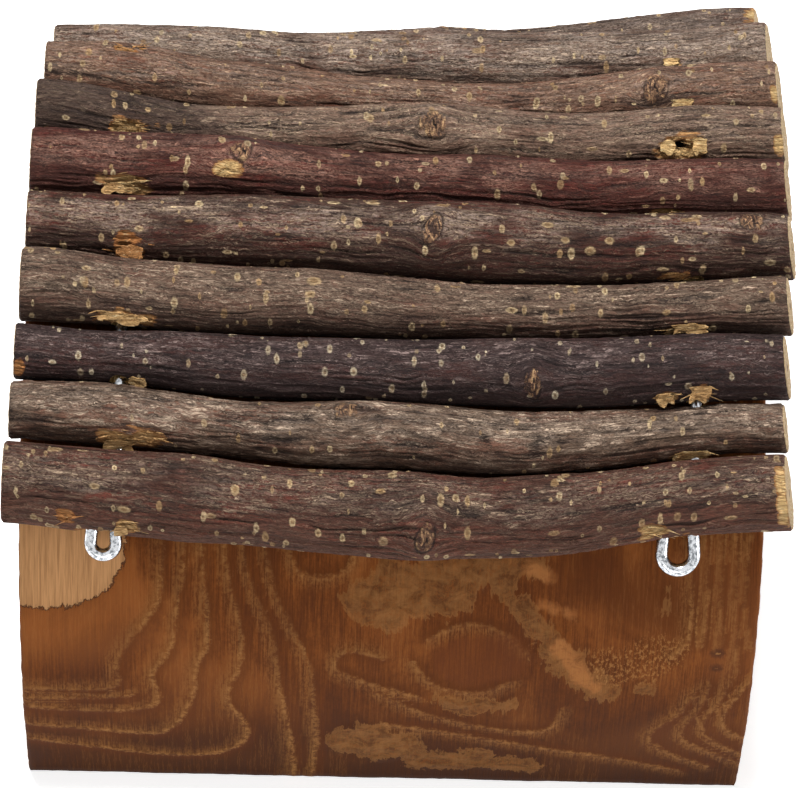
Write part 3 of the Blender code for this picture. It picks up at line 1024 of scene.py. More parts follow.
def drill(branch, number):
    """Bore the wires' holes, and those for the eyes' tails, through the finished bark."""
    cutters = []
    for side, x in enumerate(WIRE_PLACES):
        centre, forward, half = wire_frame(number, x)
        cutters.append(drill_cutter(centre, forward, 2.6 * half))
        for way, owner in ((forward, 0), (-forward, BRANCHES - 1)):
            if number == owner:
                tail = centre + way * half - Vector((2 * eye_offset(side), 0, 0))
                cutters.append(drill_cutter(tail, way, 2 * TAIL_DEPTH + WIRE_THICKNESS))
    for cutter in cutters:
        modifier = branch.modifiers.new("hole", "BOOLEAN")
        modifier.object = cutter
        modifier.solver = "MANIFOLD"
    graph = bpy.context.evaluated_depsgraph_get()
    mesh = bpy.data.meshes.new_from_object(branch.evaluated_get(graph))
    branch.modifiers.clear()
    branch.data = mesh
    for cutter in cutters:
        bpy.data.objects.remove(cutter)


def bare(vert, layers, tone):
    """Mark a vertex as torn wood, freshly bare."""
    marks, place_mark = layers
    vert[marks["torn_tone"]] = tone
    vert[marks["torn"]] = 0.1
    vert[place_mark] = vert.co


def add_flakes(shape, number, layers):
    """Thin bent flakes, held at their upper edge and free at the lower one."""
    for index, (owner, place, turn, half_length, half_height, lift, tone) in enumerate(FLAKES):
        if owner != number:
            continue
        made = bmesh.ops.create_grid(shape, x_segments=10, y_segments=5, size=1)
        faces = {face for vert in made["verts"] for face in vert.link_faces}
        drawn = bmesh.ops.extrude_face_region(shape, geom=list(faces))
        outer = [item for item in drawn["geom"] if isinstance(item, bmesh.types.BMVert)]
        flat = np.array([vert.co[:2] for vert in made["verts"]])
        ragged = soft_noise(np.column_stack((flat * 2.2, np.full(len(flat), 7.3 * index))), 21)
        for skin, thickness in ((made["verts"], 0.0), (outer, FLAKE_THICKNESS)):
            for vert, (along, down), wild in zip(skin, flat, ragged):
                narrowing = 1 - 0.35 * along * along
                x = (place + half_length * along * (1 + 0.25 * wild)) * MM
                free = (down + 1) / 2
                spot_turn = math.radians(turn) + half_height * MM * down * narrowing * (1 + 0.4 * wild) / half_thickness(number, x)
                rise = lift * MM * free * free * (0.8 + 0.8 * wild) + thickness - 0.4 * FLAKE_THICKNESS
                vert.co = branch_point(number, x, spot_turn, rise)[0]
                bare(vert, layers, tone)


def add_splinters(branch, number):
    """Loose fibres of torn wood at the torn places, part of the branch's own mesh."""
    pick = np.random.default_rng(SPLINTER_SEED + number)
    shape = bmesh.new()
    shape.from_mesh(branch.data)
    layers = (shape.verts.layers.float, shape.verts.layers.float_vector["place"])
    add_flakes(shape, number, layers)
    for owner, place, turn, half_length, half_height, depth, tone in TORN_PLACES:
        if owner != number or half_height < 1.4 or abs(place) > 90:
            continue
        for _ in range(int(SPLINTERS_PER_MM * half_length)):
            x = (place + half_length * pick.uniform(-1.0, 1.0)) * MM
            spot_turn = math.radians(turn) + pick.uniform(-0.9, 0.9) * half_height * MM / half_thickness(number, x)
            root, away = branch_point(number, x, spot_turn, -0.5 * depth * MM)
            along = Vector((pick.choice((-1.0, 1.0)), 0, 0))
            sideways = along.cross(away)
            way = along + away * pick.uniform(0.02, 0.42) + sideways * pick.uniform(-0.3, 0.3)
            length = pick.uniform(0.0012, 0.0042)
            turned = way.to_track_quat("Z", "Y").to_matrix().to_4x4()
            made = bmesh.ops.create_cone(
                shape,
                cap_ends=True,
                segments=4,
                radius1=pick.uniform(0.00014, 0.00036),
                radius2=0.00004,
                depth=length,
                matrix=Matrix.Translation(root + way.normalized() * length / 2) @ turned,
            )
            for vert in made["verts"]:
                bare(vert, layers, tone)
    shape.to_mesh(branch.data)
    shape.free()


def bark_material(number, look):
    net = Net(f"bark of branch {number + 1}")
    place = net.attribute("place")
    wrinkle = net.attribute("wrinkle", "Fac")
    shift = (0.37 * number, 0.0, 0.0)
    spacing = 0.0013 / look["wrinkle_spacing"]
    bend = net.add("TexNoise", net.place(place, (60, 100, 100), shift)).outputs["Color"]
    swaying = net.add("VectorMath", bend, (SWAY, SWAY, SWAY), place, operation="MULTIPLY_ADD").outputs[0]
    lines = net.noise(net.place(swaying, (34, 900 * spacing, 900 * spacing), shift), 2.5, 0.6, 0.15)
    hair = net.noise(net.place(swaying, (110, 1900, 1900), shift), 2, 0.6, 0.3)
    streak = net.noise(net.place(swaying, (42, 800, 800), shift), 4, 0.7, 0.2)
    strand = net.noise(net.place(swaying, (230, 2100, 2100), shift), 2.5, 0.65)
    crumb = net.noise(net.place(place, (1500, 1900, 1900), shift), 2, 0.6)
    blotch = net.noise(net.place(place, (30, 95, 95), shift), 3, 0.55, 0.5)
    patch = net.noise(net.place(place, (60, 150, 150), shift), 3, 0.6, 0.6)
    crest = net.smooth(net.math("ABSOLUTE", net.math("SUBTRACT", lines, 0.5)), 0.038, 0.0)
    thread = net.smooth(net.math("ABSOLUTE", net.math("SUBTRACT", hair, 0.5)), 0.06, 0.0)
    # Furrows: the bark's own dark between its crest lines, and painted shade in the low grooves of the wrinkles, both
    # in the deep colour below.
    furrow_and_painted_groove_shade = net.smooth(net.math("ABSOLUTE", net.math("SUBTRACT", lines, 0.5)), 0.06, 0.14)
    furrow_and_painted_groove_shade = net.math("MAXIMUM", net.times(furrow_and_painted_groove_shade, 0.75), net.smooth(wrinkle, 0.1, -0.5))
    upward = net.attribute("upward", "Fac")
    drift = net.times(net.math("SUBTRACT", patch, 0.5), 0.9)
    dusk = look["dusk"]
    # upper: the upward-facing side, which takes the dust and painted sheen and the ridges' painted highlight.
    upper = net.smooth(net.sum(upward, drift), 0.5 + dusk, 1.05 + 0.2 * dusk)
    # under: painted shade on the branch's lower, downward-facing side, mixed in below by the look's shade share; on
    # the front branch the under colour is lighter, which is painted light.
    under = net.smooth(net.sum(upward, drift), 0.85 + 0.8 * dusk, 0.15 + dusk)
    lift = net.sum(net.times(wrinkle, 0.10), net.times(streak, 1.0), net.times(crumb, 0.3))
    body = net.mix(net.smooth(lift, 0.48, 0.77), look["dark"], look["middle"])
    red = net.times(net.smooth(blotch, 0.44, 0.6), net.smooth(streak, 0.4, 0.6))
    body = net.mix(net.times(red, look["redness"]), body, look["red"])
    body = net.mix(net.times(under, look["shade"]), body, look["under"])
    left = net.smooth(net.sum(net.add("SeparateXYZ", place).outputs[0], net.times(drift, 0.03)), -0.045, -0.06)
    left = net.times(left, look["left_shade"])
    body = net.mix(left, body, look["under"])
    rest = net.math("SUBTRACT", 1.0, left)
    # Dust and painted sheen: the upward-facing side is mixed towards the grey colour, partly dust and partly painted
    # sheen of the light from above.
    dust_and_painted_sheen = net.times(net.times(upper, rest), net.smooth(net.sum(net.times(hair, 0.5), net.times(crumb, 0.5)), 0.38, 0.62))
    body = net.mix(net.times(dust_and_painted_sheen, look["greyness"]), body, look["grey"])
    furrow_and_painted_groove_shade = net.times(furrow_and_painted_groove_shade, net.spread(net.smooth(strand, 0.6, 0.42), 0, 1, 0.4, 0.8))
    body = net.mix(furrow_and_painted_groove_shade, body, look["deep"])
    # Ridges: crest lines and the tops of the wrinkles take the light colour, partly the bark's own paler crests and
    # partly a painted highlight, stronger on the upward-facing side.
    top_line = net.math("MAXIMUM", net.math("MAXIMUM", crest, net.times(thread, 0.5)), net.smooth(wrinkle, 0.62, 0.95))
    ridge_and_painted_highlight = net.times(top_line, net.spread(upper, 0, 1, 0.3, 1.0))
    ridge_and_painted_highlight = net.times(ridge_and_painted_highlight, net.smooth(net.sum(patch, net.times(wrinkle, 0.1)), 0.22, 0.56))
    ridge_and_painted_highlight = net.times(ridge_and_painted_highlight, net.spread(net.smooth(strand, 0.42, 0.58), 0, 1, 0.12, 1.3))
    ridge_and_painted_highlight = net.times(ridge_and_painted_highlight, rest)
    body = net.mix(net.times(ridge_and_painted_highlight, look["lightness"]), body, look["light"])
    speck = net.add("TexVoronoi", net.place(place, (420, 900, 900), shift), distance="EUCLIDEAN", feature="F1")
    fleck = net.times(net.smooth(speck.outputs["Distance"], 0.26, 0.12), net.smooth(blotch, 0.40, 0.56))
    body = net.mix(net.times(fleck, look["flecks"]), body, look["spot"])
    near = net.attribute("spot", "Fac")
    tone = net.attribute("spot_tone", "Fac")
    ragged = net.sum(near, net.times(net.math("SUBTRACT", crumb, 0.5), 0.3))
    ring_edge = net.smooth(ragged, 0.34, 0.58)
    spot_colour = net.mix(tone, look["spot"], look["spot_light"])
    core = net.smooth(ragged, 0.62, 0.8)
    spot_colour = net.mix(net.times(core, 0.7), spot_colour, look["spot_core"])
    heart = net.times(net.smooth(ragged, 0.8, 0.95), net.smooth(tone, 0.45, 0.6))
    spot_colour = net.mix(net.times(heart, 0.6), spot_colour, look["dark"])
    faint = net.spread(net.math("FRACT", net.times(tone, 7.3)), 0, 1, 0.6, 1.0)
    body = net.mix(net.times(net.times(ring_edge, faint), look["spot_strength"]), body, spot_colour)
    knot = net.attribute("knot", "Fac")
    flesh = net.noise(net.place(place, (760, 760, 760), shift), 3, 0.7, 1.2)
    scar = net.mix(net.smooth(flesh, 0.44, 0.54), KNOT_DARK, KNOT_LIGHT)
    scar = net.mix(net.smooth(flesh, 0.56, 0.64), scar, KNOT_PALE)
    # Painted shade: the crease round a knot is darkened with the deep colour.
    crease = net.times(net.smooth(knot, 0.22, 0.36), net.smooth(knot, 0.5, 0.4))
    crease = net.times(crease, net.smooth(patch, 0.35, 0.6))
    healed = net.smooth(net.sum(knot, net.times(flesh, 0.9)), 0.82, 1.0)
    body = net.mix(net.times(healed, 0.85), body, scar)
    body = net.mix(net.times(crease, 0.8), body, look["deep"])
    # Painted shade: the pits of knots, and the pits listed in PITS, are near-black in the deep colour.
    body = net.mix(net.smooth(knot, 0.86, 0.98), body, look["deep"])
    torn = net.attribute("torn", "Fac")
    torn_tone = net.attribute("torn_tone", "Fac")
    torn_fibre = net.noise(net.place(place, (260, 2300, 2300), shift), 3, 0.7)
    wood = net.mix(torn_tone, STRAW, RUSTY)
    wood = net.mix(net.times(net.smooth(torn_fibre, 0.52, 0.36), 0.8), wood, TORN_DARK)
    wood = net.mix(net.times(net.smooth(torn_fibre, 0.56, 0.7), 0.7), wood, TORN_LIGHT)
    wood = net.mix(net.times(net.smooth(torn, 0.5, 0.95), 0.7), wood, TORN_RIM)
    bare = net.smooth(net.sum(torn, net.times(net.math("SUBTRACT", torn_fibre, 0.5), 0.8)), 1.02, 0.88)
    body = net.mix(bare, body, wood)
    sawn = net.smooth(net.attribute("sawn", "Fac"), 0.3, 0.6)
    radial = net.add("VectorMath", net.place(place, (0, 1, 1)), operation="LENGTH").outputs["Value"]
    wobble = net.noise(net.place(place, (0, 260, 260), shift), 2, 0.5)
    rings = net.math("SINE", net.sum(net.times(radial, 6200.0), net.times(wobble, 13.0)))
    end_wood = net.mix(net.smooth(rings, -0.5, 0.9), END_LIGHT, END_DARK)
    rays = net.noise(net.place(place, (0, 2200, 2200), shift), 3, 0.7)
    end_wood = net.mix(net.times(net.smooth(rays, 0.45, 0.7), 0.5), end_wood, END_RAY)
    end_wood = net.mix(net.smooth(radial, 0.0013, 0.0008), end_wood, PITH)
    body = net.mix(sawn, body, end_wood)
    relief = net.sum(net.times(crest, 0.5), net.times(thread, 0.22), net.times(streak, 0.6), net.times(crumb, 0.3))
    normal = net.bump(relief, look["bump"] * MM, 1.0)
    rough = net.spread(lift, 0.4, 1.0, 0.6, 0.9)
    net.shader.inputs["Specular IOR Level"].default_value = 0.14
    return net.finish(body, rough, normal)


def line_distance(points, line):
    """Signed distance from each point to a line of several stretches."""
    best = np.full(len(points), 1.0)
    signed = np.full(len(points), 1.0)
    for start, end in zip(line, line[1:]):
        start, end = np.array(start) * MM, np.array(end) * MM
        way = end - start
        share = np.clip((points - start) @ way / (way @ way), 0, 1)
        off = points - start - share[:, None] * way
        distance = np.hypot(off[:, 0], off[:, 1])
        side = np.sign(way[0] * off[:, 1] - way[1] * off[:, 0])
        closer = distance < best
        best = np.where(closer, distance, best)
        signed = np.where(closer, distance * side, signed)
    return best, signed


def rounded(line):
    """The same line with each corner cut twice, so that it bends softly."""
    for _ in range(2):
        softer = [line[0]]
        for (x0, s0), (x1, s1) in zip(line, line[1:]):
            softer.append((0.75 * x0 + 0.25 * x1, 0.75 * s0 + 0.25 * s1))
            softer.append((0.25 * x0 + 0.75 * x1, 0.25 * s0 + 0.75 * s1))
        line = softer + [line[-1]]
    return line


def grain_lines():
    """The board's grain lines: those of the front, and a plainer set for the back."""
    lines = [rounded(line) for line in GRAIN_LINES]
    whole = arch_length() / MM
    for i in range(BACK_ARCHES):
        height = BACK_HEIGHT * (1 - 0.8 * i / BACK_ARCHES) + 4 * math.sin(2.1 * i)
        line = []
        for step in range(-8, 9):
            share = step / 8
            reach = (BACK_WIDTH + BACK_STEP * (BACK_ARCHES - i)) * share * (1 - 0.3 * abs(share) ** 3)
            rise = height * (1 - abs(share) ** 2.2) - 3
            line.append((BACK_MIDDLE + reach + 2.5 * math.sin(1.7 * step + i), whole - max(rise, -3)))
        lines.append(rounded(line))
    for i, start in enumerate(BACK_STRAYS):
        line = [(start + 5 * math.sin(0.45 * step + 0.8 * i), whole - step * 11) for step in range(10)]
        lines.append(rounded(line))
    return lines


def capsule_reach(points, capsules):
    """Signed distance to the nearest of several rounded strips, below 0 inside, in metres."""
    best = np.full(len(points), 1.0)
    for x0, s0, x1, s1, radius in capsules:
        distance, _ = line_distance(points, ((x0, s0), (x1 + 0.01, s1)))
        best = np.minimum(best, distance - radius * MM)
    return best


def make_board():
    """The bent board: a sheet drawn down to its thickness and laid round the arch."""
    shape = bmesh.new()
    bmesh.ops.create_grid(shape, x_segments=BOARD_COLUMNS, y_segments=BOARD_ROWS, size=1)
    drawn = bmesh.ops.extrude_face_region(shape, geom=list(shape.faces))
    below = [item for item in drawn["geom"] if isinstance(item, bmesh.types.BMVert)]
    bmesh.ops.translate(shape, verts=below, vec=(0, 0, -1))
    upright = [edge for edge in shape.edges if abs(edge.verts[0].co.z - edge.verts[1].co.z) > 0.5]
    bmesh.ops.subdivide_edges(shape, edges=upright, cuts=3, use_grid_fill=True)
    bmesh.ops.recalc_face_normals(shape, faces=shape.faces)
    mesh = bpy.data.meshes.new("bent board")
    shape.to_mesh(mesh)
    shape.free()
    flat = read_points(mesh)
    x = SHELL_SHIFT + SHELL_LENGTH / 2 * flat[:, 0]
    distance = arch_length() * (flat[:, 1] + 1) / 2
    depth = -flat[:, 2] * SHELL_WALL
    points, outward = board_faces(distance)
    sheet = np.stack((x, distance, depth), axis=1)
    lines = grain_lines()
    best = np.full(len(x), 1.0)
    signed = np.full(len(x), 1.0)
    flat_place = sheet[:, :2]
    for line in lines:
        line_best, line_signed = line_distance(flat_place, line)
        closer = line_best < best
        best = np.where(closer, line_best, best)
        signed = np.where(closer, line_signed, signed)
    patches = {name: capsule_reach(flat_place, capsules) for name, capsules in BOARD_PATCHES.items()}
    outer = depth < 0.0001
    fibre = soft_noise(sheet * (900, 60, 300), 71)
    height = 0.00006 * fibre + 0.00009 * soft_noise(sheet * (110, 50, 300), 72)
    height = height + 0.00013 * np.exp(-((best / 0.0011) ** 2))
    torn = smooth_step(-patches["torn"] + 0.0018 * soft_noise(sheet * (260, 200, 300), 75), -0.0004, 0.0006)
    height = height + torn * (0.00022 + 0.00026 * soft_noise(sheet * (240, 330, 300), 73))
    height = height - 0.0003 * smooth_step(-patches["tan"], -0.0003, 0.0006)
    edge = np.minimum(np.minimum(1 - np.abs(flat[:, 0]), 1 - np.abs(flat[:, 1])) * 60, 1)
    skin = np.where(outer, 1.0, np.where(depth > SHELL_WALL - 0.0001, -1.0, 0.0))
    wear = EDGE_WEAR * (1 - smooth_step(edge, 0, 1)) ** 2
    move = skin * (height * (0.35 + 0.65 * outer) - wear)
    rim_x = (np.abs(flat[:, 0]) > 0.999) * np.sign(flat[:, 0])
    x = x + rim_x * (0.00015 * soft_noise(sheet * (1, 500, 1400), 74) - EDGE_WEAR * (skin != 0))
    place = points + outward * (move - depth)[:, None]
    foot = np.abs(flat[:, 1]) > 0.999
    place[:, 1] = np.where(foot, np.maximum(place[:, 1], 0), place[:, 1])
    write_points(mesh, np.column_stack((x, place)))
    write_values(mesh, "sheet", sheet)
    write_values(mesh, "line", signed / MM)
    write_values(mesh, "line_near", best / MM)
    write_values(mesh, "line_before", np.where(signed <= 0, best / MM, LINE_FAR))
    write_values(mesh, "line_after", np.where(signed > 0, best / MM, LINE_FAR))
    for name, values in patches.items():
        write_values(mesh, name, np.clip(values / MM, -9, 9))
    mesh.materials.append(board_material())
    mesh.shade_smooth()
    board = bpy.data.objects.new("bent_board", mesh)
    bpy.context.scene.collection.objects.link(board)
    return board


def board_faces(distance):
    """Points on the board's outer face and outward directions, for an array of distances."""
    turns, distances = arch_table()
    samples = [arch_face(turn) for turn in turns]
    columns = np.array([(point.x, point.y, out.x, out.y) for point, out in samples]).T
    point_y, point_z, out_y, out_z = (np.interp(distance, distances, column) for column in columns)
    return np.stack((point_y, point_z), axis=1), np.stack((out_y, out_z), axis=1)


def board_material():
    net = Net("bent board wood")
    sheet = net.attribute("sheet")
    fibre = net.noise(net.place(sheet, (1100, 40, 900)), 4, 0.7, 0.2)
    thread = net.noise(net.place(sheet, (2600, 90, 2000)), 2, 0.6, 0.2)
    cloud = net.noise(net.place(sheet, (34, 22, 30)), 4, 0.6, 0.6)
    grit = net.noise(net.place(sheet, (1300, 620, 900)), 3, 0.75)
    sway = net.noise(net.place(sheet, (380, 120, 100)), 4, 0.7, 0.4)
    tone = net.sum(net.times(fibre, 0.6), net.times(thread, 0.4), net.times(cloud, 0.9), net.times(grit, 0.35))
    body = net.mix(net.smooth(tone, 0.9, 1.4), BOARD_DARK, BOARD_MIDDLE)
    body = net.mix(net.times(net.smooth(cloud, 0.48, 0.7), 0.6), body, BOARD_WARM)
    along = net.add("SeparateXYZ", sheet)
    warm = net.sum(net.attribute("warm", "Fac"), net.times(net.math("SUBTRACT", cloud, 0.5), 16.0))
    body = net.mix(net.times(net.smooth(warm, 7.0, -5.0), 0.5), body, BOARD_WARM)
    dim = net.sum(net.attribute("shade", "Fac"), net.times(net.math("SUBTRACT", cloud, 0.5), 16.0))
    body = net.mix(net.times(net.smooth(dim, 8.0, -6.0), 0.75), body, BOARD_DARK)
    # Painted shade: the board is darker towards its foot, where its face stands upright and gets less light from
    # above.
    low = net.smooth(along.outputs[1], 0.078, -0.004)
    body = net.mix(net.times(low, 0.9), body, BOARD_PAINTED_LOW_SHADE)
    vein = net.smooth(net.math("ABSOLUTE", net.math("SUBTRACT", fibre, 0.56)), 0.035, 0.0)
    body = net.mix(net.times(net.times(vein, net.smooth(cloud, 0.42, 0.6)), 0.16), body, BOARD_LINE)
    line_side = net.attribute("line", "Fac")
    line = net.math("ABSOLUTE", line_side)
    near = net.attribute("line_near", "Fac")
    uneven = net.times(net.math("SUBTRACT", grit, 0.5), 2.2)
    ragged = net.sum(line, net.times(net.math("SUBTRACT", sway, 0.5), 3.2), uneven)
    stroke = net.times(net.smooth(ragged, 1.3, -0.1), net.smooth(near, 1.9, 1.3))
    stroke = net.times(stroke, net.spread(net.smooth(cloud, 0.35, 0.6), 0, 1, 0.35, 1.0))
    shadow = net.times(net.smooth(ragged, 3.6, 0.9), net.smooth(near, 3.6, 2.6))
    body = net.mix(net.times(shadow, 0.3), body, BOARD_DARK)
    drawn = net.times(net.math("SUBTRACT", sway, 0.5), 3.0)
    fade = net.smooth(net.sum(net.attribute("line_before", "Fac"), drawn), 5.0, 0.0)
    fade = net.times(fade, net.smooth(net.sum(thread, grit), 0.8, 1.2))
    body = net.mix(net.times(fade, 0.36), body, BOARD_LINE)
    gloom = net.smooth(net.sum(net.attribute("line_after", "Fac"), drawn), 5.5, 0.5)
    body = net.mix(net.times(gloom, 0.42), body, BOARD_DARK)
    ripple = net.smooth(net.noise(net.place(sheet, (620, 760, 600)), 3, 0.65, 0.6), 0.42, 0.58)
    body = net.mix(net.times(stroke, net.spread(ripple, 0, 1, 0.15, 0.62)), body, BOARD_LINE)
    island = net.sum(net.attribute("island", "Fac"), net.times(net.math("SUBTRACT", sway, 0.5), 6.0))
    body = net.mix(net.times(net.smooth(island, 1.5, -1.5), 0.55), body, BOARD_ISLAND)
    fringe = net.noise(net.place(sheet, (1000, 130, 300)), 4, 0.75, 0.3)
    spread = net.noise(net.place(sheet, (130, 100, 100)), 4, 0.65, 0.8)
    rough_edge = net.sum(net.times(net.math("SUBTRACT", fringe, 0.5), 6.0), net.times(net.math("SUBTRACT", spread, 0.5), 13.0))
    torn = net.sum(net.attribute("torn", "Fac"), rough_edge)
    flank = net.noise(net.place(sheet, (210, 330, 300)), 4, 0.7, 0.8)
    torn_tone = net.sum(net.times(fringe, 0.2), net.times(flank, 0.7), net.times(spread, 0.5), net.times(grit, 0.2))
    torn_wood = net.mix(net.smooth(torn_tone, 0.6, 0.98), TORN_BOARD_DARK, TORN_BOARD_LIGHT)
    contour = net.math("ABSOLUTE", net.math("SINE", net.sum(net.times(torn, 0.9), net.times(spread, 9.0))))
    torn_wood = net.mix(net.times(net.smooth(contour, 0.35, 0.0), 0.6), torn_wood, BOARD_MIDDLE)
    body = net.mix(net.times(net.smooth(torn, 1.2, -1.6), 0.75), body, torn_wood)
    lip = net.times(net.smooth(torn, -0.9, 0.1), net.smooth(torn, 1.0, 0.3))
    body = net.mix(net.times(lip, 0.25), body, BOARD_LINE)
    rusty = net.sum(net.attribute("rusty", "Fac"), net.times(rough_edge, 0.5))
    rust = net.times(net.smooth(rusty, 0.9, -1.6), net.smooth(torn_tone, 0.5, 0.85))
    body = net.mix(net.times(rust, 0.6), body, BOARD_RUST)
    mottle = net.sum(net.attribute("mottled", "Fac"), net.times(net.math("SUBTRACT", spread, 0.5), 14.0))
    grains = net.smooth(grit, 0.5, 0.6)
    body = net.mix(net.times(net.times(net.smooth(mottle, 0.5, -2.0), grains), 0.55), body, BOARD_LINE)
    knot = net.sum(net.attribute("knots", "Fac"), net.times(net.math("SUBTRACT", grit, 0.5), 1.6))
    body = net.mix(net.times(net.smooth(knot, 0.9, -0.4), 0.7), body, BOARD_KNOT)
    body = net.mix(net.times(net.smooth(knot, -0.6, -1.0), 0.6), body, BOARD_LINE)
    jag = net.noise(net.place(sheet, (420, 260, 300)), 4, 0.75)
    tan = net.sum(net.attribute("tan", "Fac"), net.times(net.math("SUBTRACT", jag, 0.5), 5.5))
    tan_wood = net.mix(net.smooth(net.sum(fibre, net.times(thread, 0.5)), 0.55, 0.9), TAN_DARK, TAN_LIGHT)
    body = net.mix(net.smooth(tan, 0.35, 0.0), body, tan_wood)
    rim = net.times(net.smooth(tan, -0.25, 0.05), net.smooth(tan, 0.6, 0.3))
    body = net.mix(net.times(rim, 0.8), body, BOARD_KNOT)
    depth = along.outputs[2]
    edge = net.times(net.smooth(depth, 0.0003, 0.0007), net.smooth(depth, 0.0047, 0.0043))
    edge_wood = net.mix(net.smooth(net.sum(fibre, grit), 0.8, 1.2), EDGE_DARK, EDGE_LIGHT)
    body = net.mix(edge, body, edge_wood)
    inside = net.smooth(depth, 0.0044, 0.0048)
    inner_wood = net.mix(net.smooth(net.sum(net.times(fibre, 0.9), net.times(thread, 0.6)), 0.6, 1.0), INNER_DARK, INNER_LIGHT)
    body = net.mix(inside, body, inner_wood)
    relief = net.sum(net.times(fibre, 0.8), net.times(thread, 0.5), net.times(stroke, 0.6), net.times(grit, 0.25))
    normal = net.bump(relief, 0.2 * MM, 1.0)
    net.shader.inputs["Specular IOR Level"].default_value = 0.1
    return net.finish(body, net.spread(tone, 0.7, 1.5, 0.6, 0.8), normal)


def eye_offset(side):
    return EYE_WIDTHS[side] / 2 / math.cos(EYE_LEAN) - eye_centre_reach(side) * math.tan(EYE_LEAN)


def eye_centre_reach(side):
    return EYE_REACHES[side] - EYE_WIDTHS[side] / 2 - WIRE_THICKNESS / 2


def eye_points(side, mouth, way):
    """The wire from a hole's mouth, round its eye and back into the branch."""
    bulb = EYE_WIDTHS[side] / 2
    middle = eye_offset(side)
    reach = eye_centre_reach(side)
    across = Vector((-1, 0, 0))
    sweep = HALF_TURN + 2 * EYE_LEAN
    points = [mouth]
    for i in range(EYE_STATIONS + 1):
        turn = sweep * i / EYE_STATIONS - EYE_LEAN
        side_reach = middle - bulb * math.cos(turn)
        points.append(mouth + across * side_reach + way * (reach + bulb * math.sin(turn)))
    tail = mouth + across * 2 * middle
    return points + [tail, tail - way * TAIL_DEPTH]


def wire_points(side):
    x = WIRE_PLACES[side]
    front, forward, front_half = wire_frame(0, x)
    back, back_forward, back_half = wire_frame(BRANCHES - 1, x)
    first, last = seats_at(x)[0], seats_at(x)[-1]
    over = []
    for i in range(WIRE_STATIONS + 1):
        share = i / WIRE_STATIONS
        distance = first + (last - first) * share
        lowered = WIRE_SAG * min(1, 10 * share, 10 * (1 - share))
        point = on_arch(distance, WIRE_RISE - lowered)
        over.append(Vector((x, point.x, point.y)))
    front_eye = eye_points(side, front + forward * front_half, forward)
    back_eye = eye_points(side, back - back_forward * back_half, -back_forward)
    return front_eye[::-1] + over + back_eye


def make_wire(side):
    """A round wire along its route, as a closed mesh."""
    curve = bpy.data.curves.new("wire route", "CURVE")
    curve.dimensions = "3D"
    curve.bevel_depth = WIRE_THICKNESS / 2
    curve.bevel_resolution = 6
    curve.use_fill_caps = True
    points = wire_points(side)
    spline = curve.splines.new("POLY")
    spline.points.add(len(points) - 1)
    for slot, point in zip(spline.points, points):
        slot.co = (*point, 1.0)
    route = bpy.data.objects.new("wire route", curve)
    bpy.context.scene.collection.objects.link(route)
    graph = bpy.context.evaluated_depsgraph_get()
    shape = bmesh.new()
    shape.from_mesh(bpy.data.meshes.new_from_object(route.evaluated_get(graph)))
    bpy.data.objects.remove(route)
    bmesh.ops.remove_doubles(shape, verts=shape.verts, dist=0.00001)
    bmesh.ops.recalc_face_normals(shape, faces=shape.faces)
    return new_piece(("left_wire", "right_wire")[side], shape, zinc_material(side))


def zinc_material(side):
    net = Net(("zinc of the left wire", "zinc of the right wire")[side])
    place = net.add("TexCoord").outputs["Object"]
    bloom = net.noise(net.place(place, (900, 900, 900)), 4, 0.65)
    drawn = net.noise(net.place(place, (2600, 700, 700)), 3, 0.6)
    # The zinc is mottled towards a darker grey: partly its own bloom and partly painted dark reflection.
    colour = net.mix(net.smooth(bloom, 0.4, 0.65), ZINC_LIGHT, ZINC_BLOOM_AND_DARK_REFLECTION)
    net.shader.inputs["Metallic"].default_value = 1.0
    rough = net.spread(bloom, 0.35, 0.7, 0.12, 0.24)
    normal = net.bump(net.sum(net.times(bloom, 0.5), net.times(drawn, 0.5)), 0.03 * MM, 0.6)
    return net.finish(colour, rough, normal)


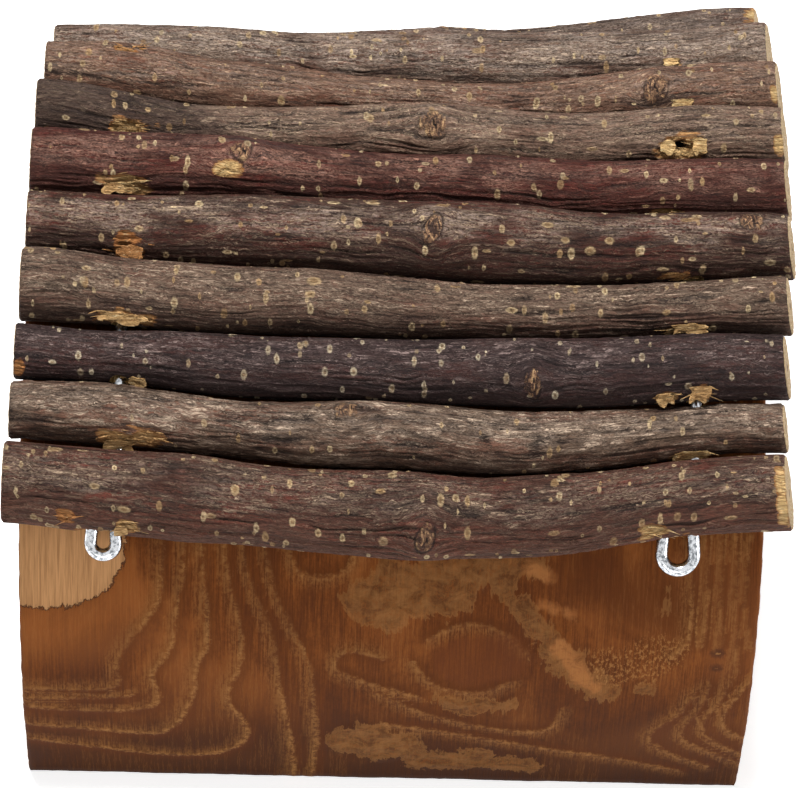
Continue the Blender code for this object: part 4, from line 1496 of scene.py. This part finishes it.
def make_floor_and_light():
    shape = bmesh.new()
    bmesh.ops.create_grid(shape, x_segments=1, y_segments=1, size=3)
    bmesh.ops.translate(shape, verts=shape.verts, vec=(0, 0, -0.0002))
    net = Net("white floor")
    net.shader.inputs["Base Color"].default_value = (0.92, 0.92, 0.92, 1)
    net.shader.inputs["Roughness"].default_value = 1.0
    net.shader.inputs["Specular IOR Level"].default_value = 0.0
    net.shader.inputs["Emission Color"].default_value = (1, 1, 1, 1)
    rays = net.add("LightPath").outputs
    seen = net.math("MAXIMUM", rays["Is Camera Ray"], net.math("MAXIMUM", rays["Is Glossy Ray"], rays["Is Transmission Ray"]))
    place = net.add("TexCoord").outputs["Object"]
    away = net.add("VectorMath", place, operation="LENGTH").outputs["Value"]
    glow = net.spread(net.smooth(away, 0.25, 0.9), 0, 1, FLOOR_GLOW, 1.0)
    net.feed(net.shader.inputs["Emission Strength"], net.times(seen, glow))
    floor = new_piece("floor", shape, net.material, smooth=False)
    world = bpy.data.worlds.new("white room")
    bpy.context.scene.world = world
    world.use_nodes = True
    tree = world.node_tree
    background = tree.nodes["Background"]
    background.inputs["Color"].default_value = (1.0, 1.0, 1.0, 1.0)
    rays = tree.nodes.new("ShaderNodeLightPath")
    mirrored = tree.nodes.new("ShaderNodeMath")
    mirrored.operation = "MAXIMUM"
    tree.links.new(rays.outputs["Is Glossy Ray"], mirrored.inputs[0])
    tree.links.new(rays.outputs["Is Transmission Ray"], mirrored.inputs[1])
    seen = tree.nodes.new("ShaderNodeMath")
    seen.operation = "MAXIMUM"
    tree.links.new(rays.outputs["Is Camera Ray"], seen.inputs[0])
    tree.links.new(mirrored.outputs[0], seen.inputs[1])
    strength = tree.nodes.new("ShaderNodeMapRange")
    tree.links.new(seen.outputs[0], strength.inputs["Value"])
    strength.inputs["To Min"].default_value = WORLD_LEVEL
    strength.inputs["To Max"].default_value = 1.0
    tree.links.new(strength.outputs[0], background.inputs["Strength"])
    for name, place, aim, size, power in LAMPS:
        data = bpy.data.lights.new(name, "AREA")
        data.shape = "DISK"
        data.size = size
        data.energy = power
        lamp = bpy.data.objects.new(name, data)
        lamp.location = place
        lamp.rotation_euler = (Vector(aim) - Vector(place)).to_track_quat("-Z", "Y").to_euler()
        bpy.context.scene.collection.objects.link(lamp)


def add_piece(piece, node):
    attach(piece, "root")
    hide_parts(node)


def main():
    make_camera()
    make_floor_and_light()
    add_piece(make_board(), "arched_shell")
    net = tube_net()
    for number in range(BRANCHES):
        add_piece(make_branch(number, net), f"branch_{number + 1:02d}")
    bpy.data.meshes.remove(net)
    for side, node in enumerate(("wire_left", "wire_right")):
        add_piece(make_wire(side), node)


main()
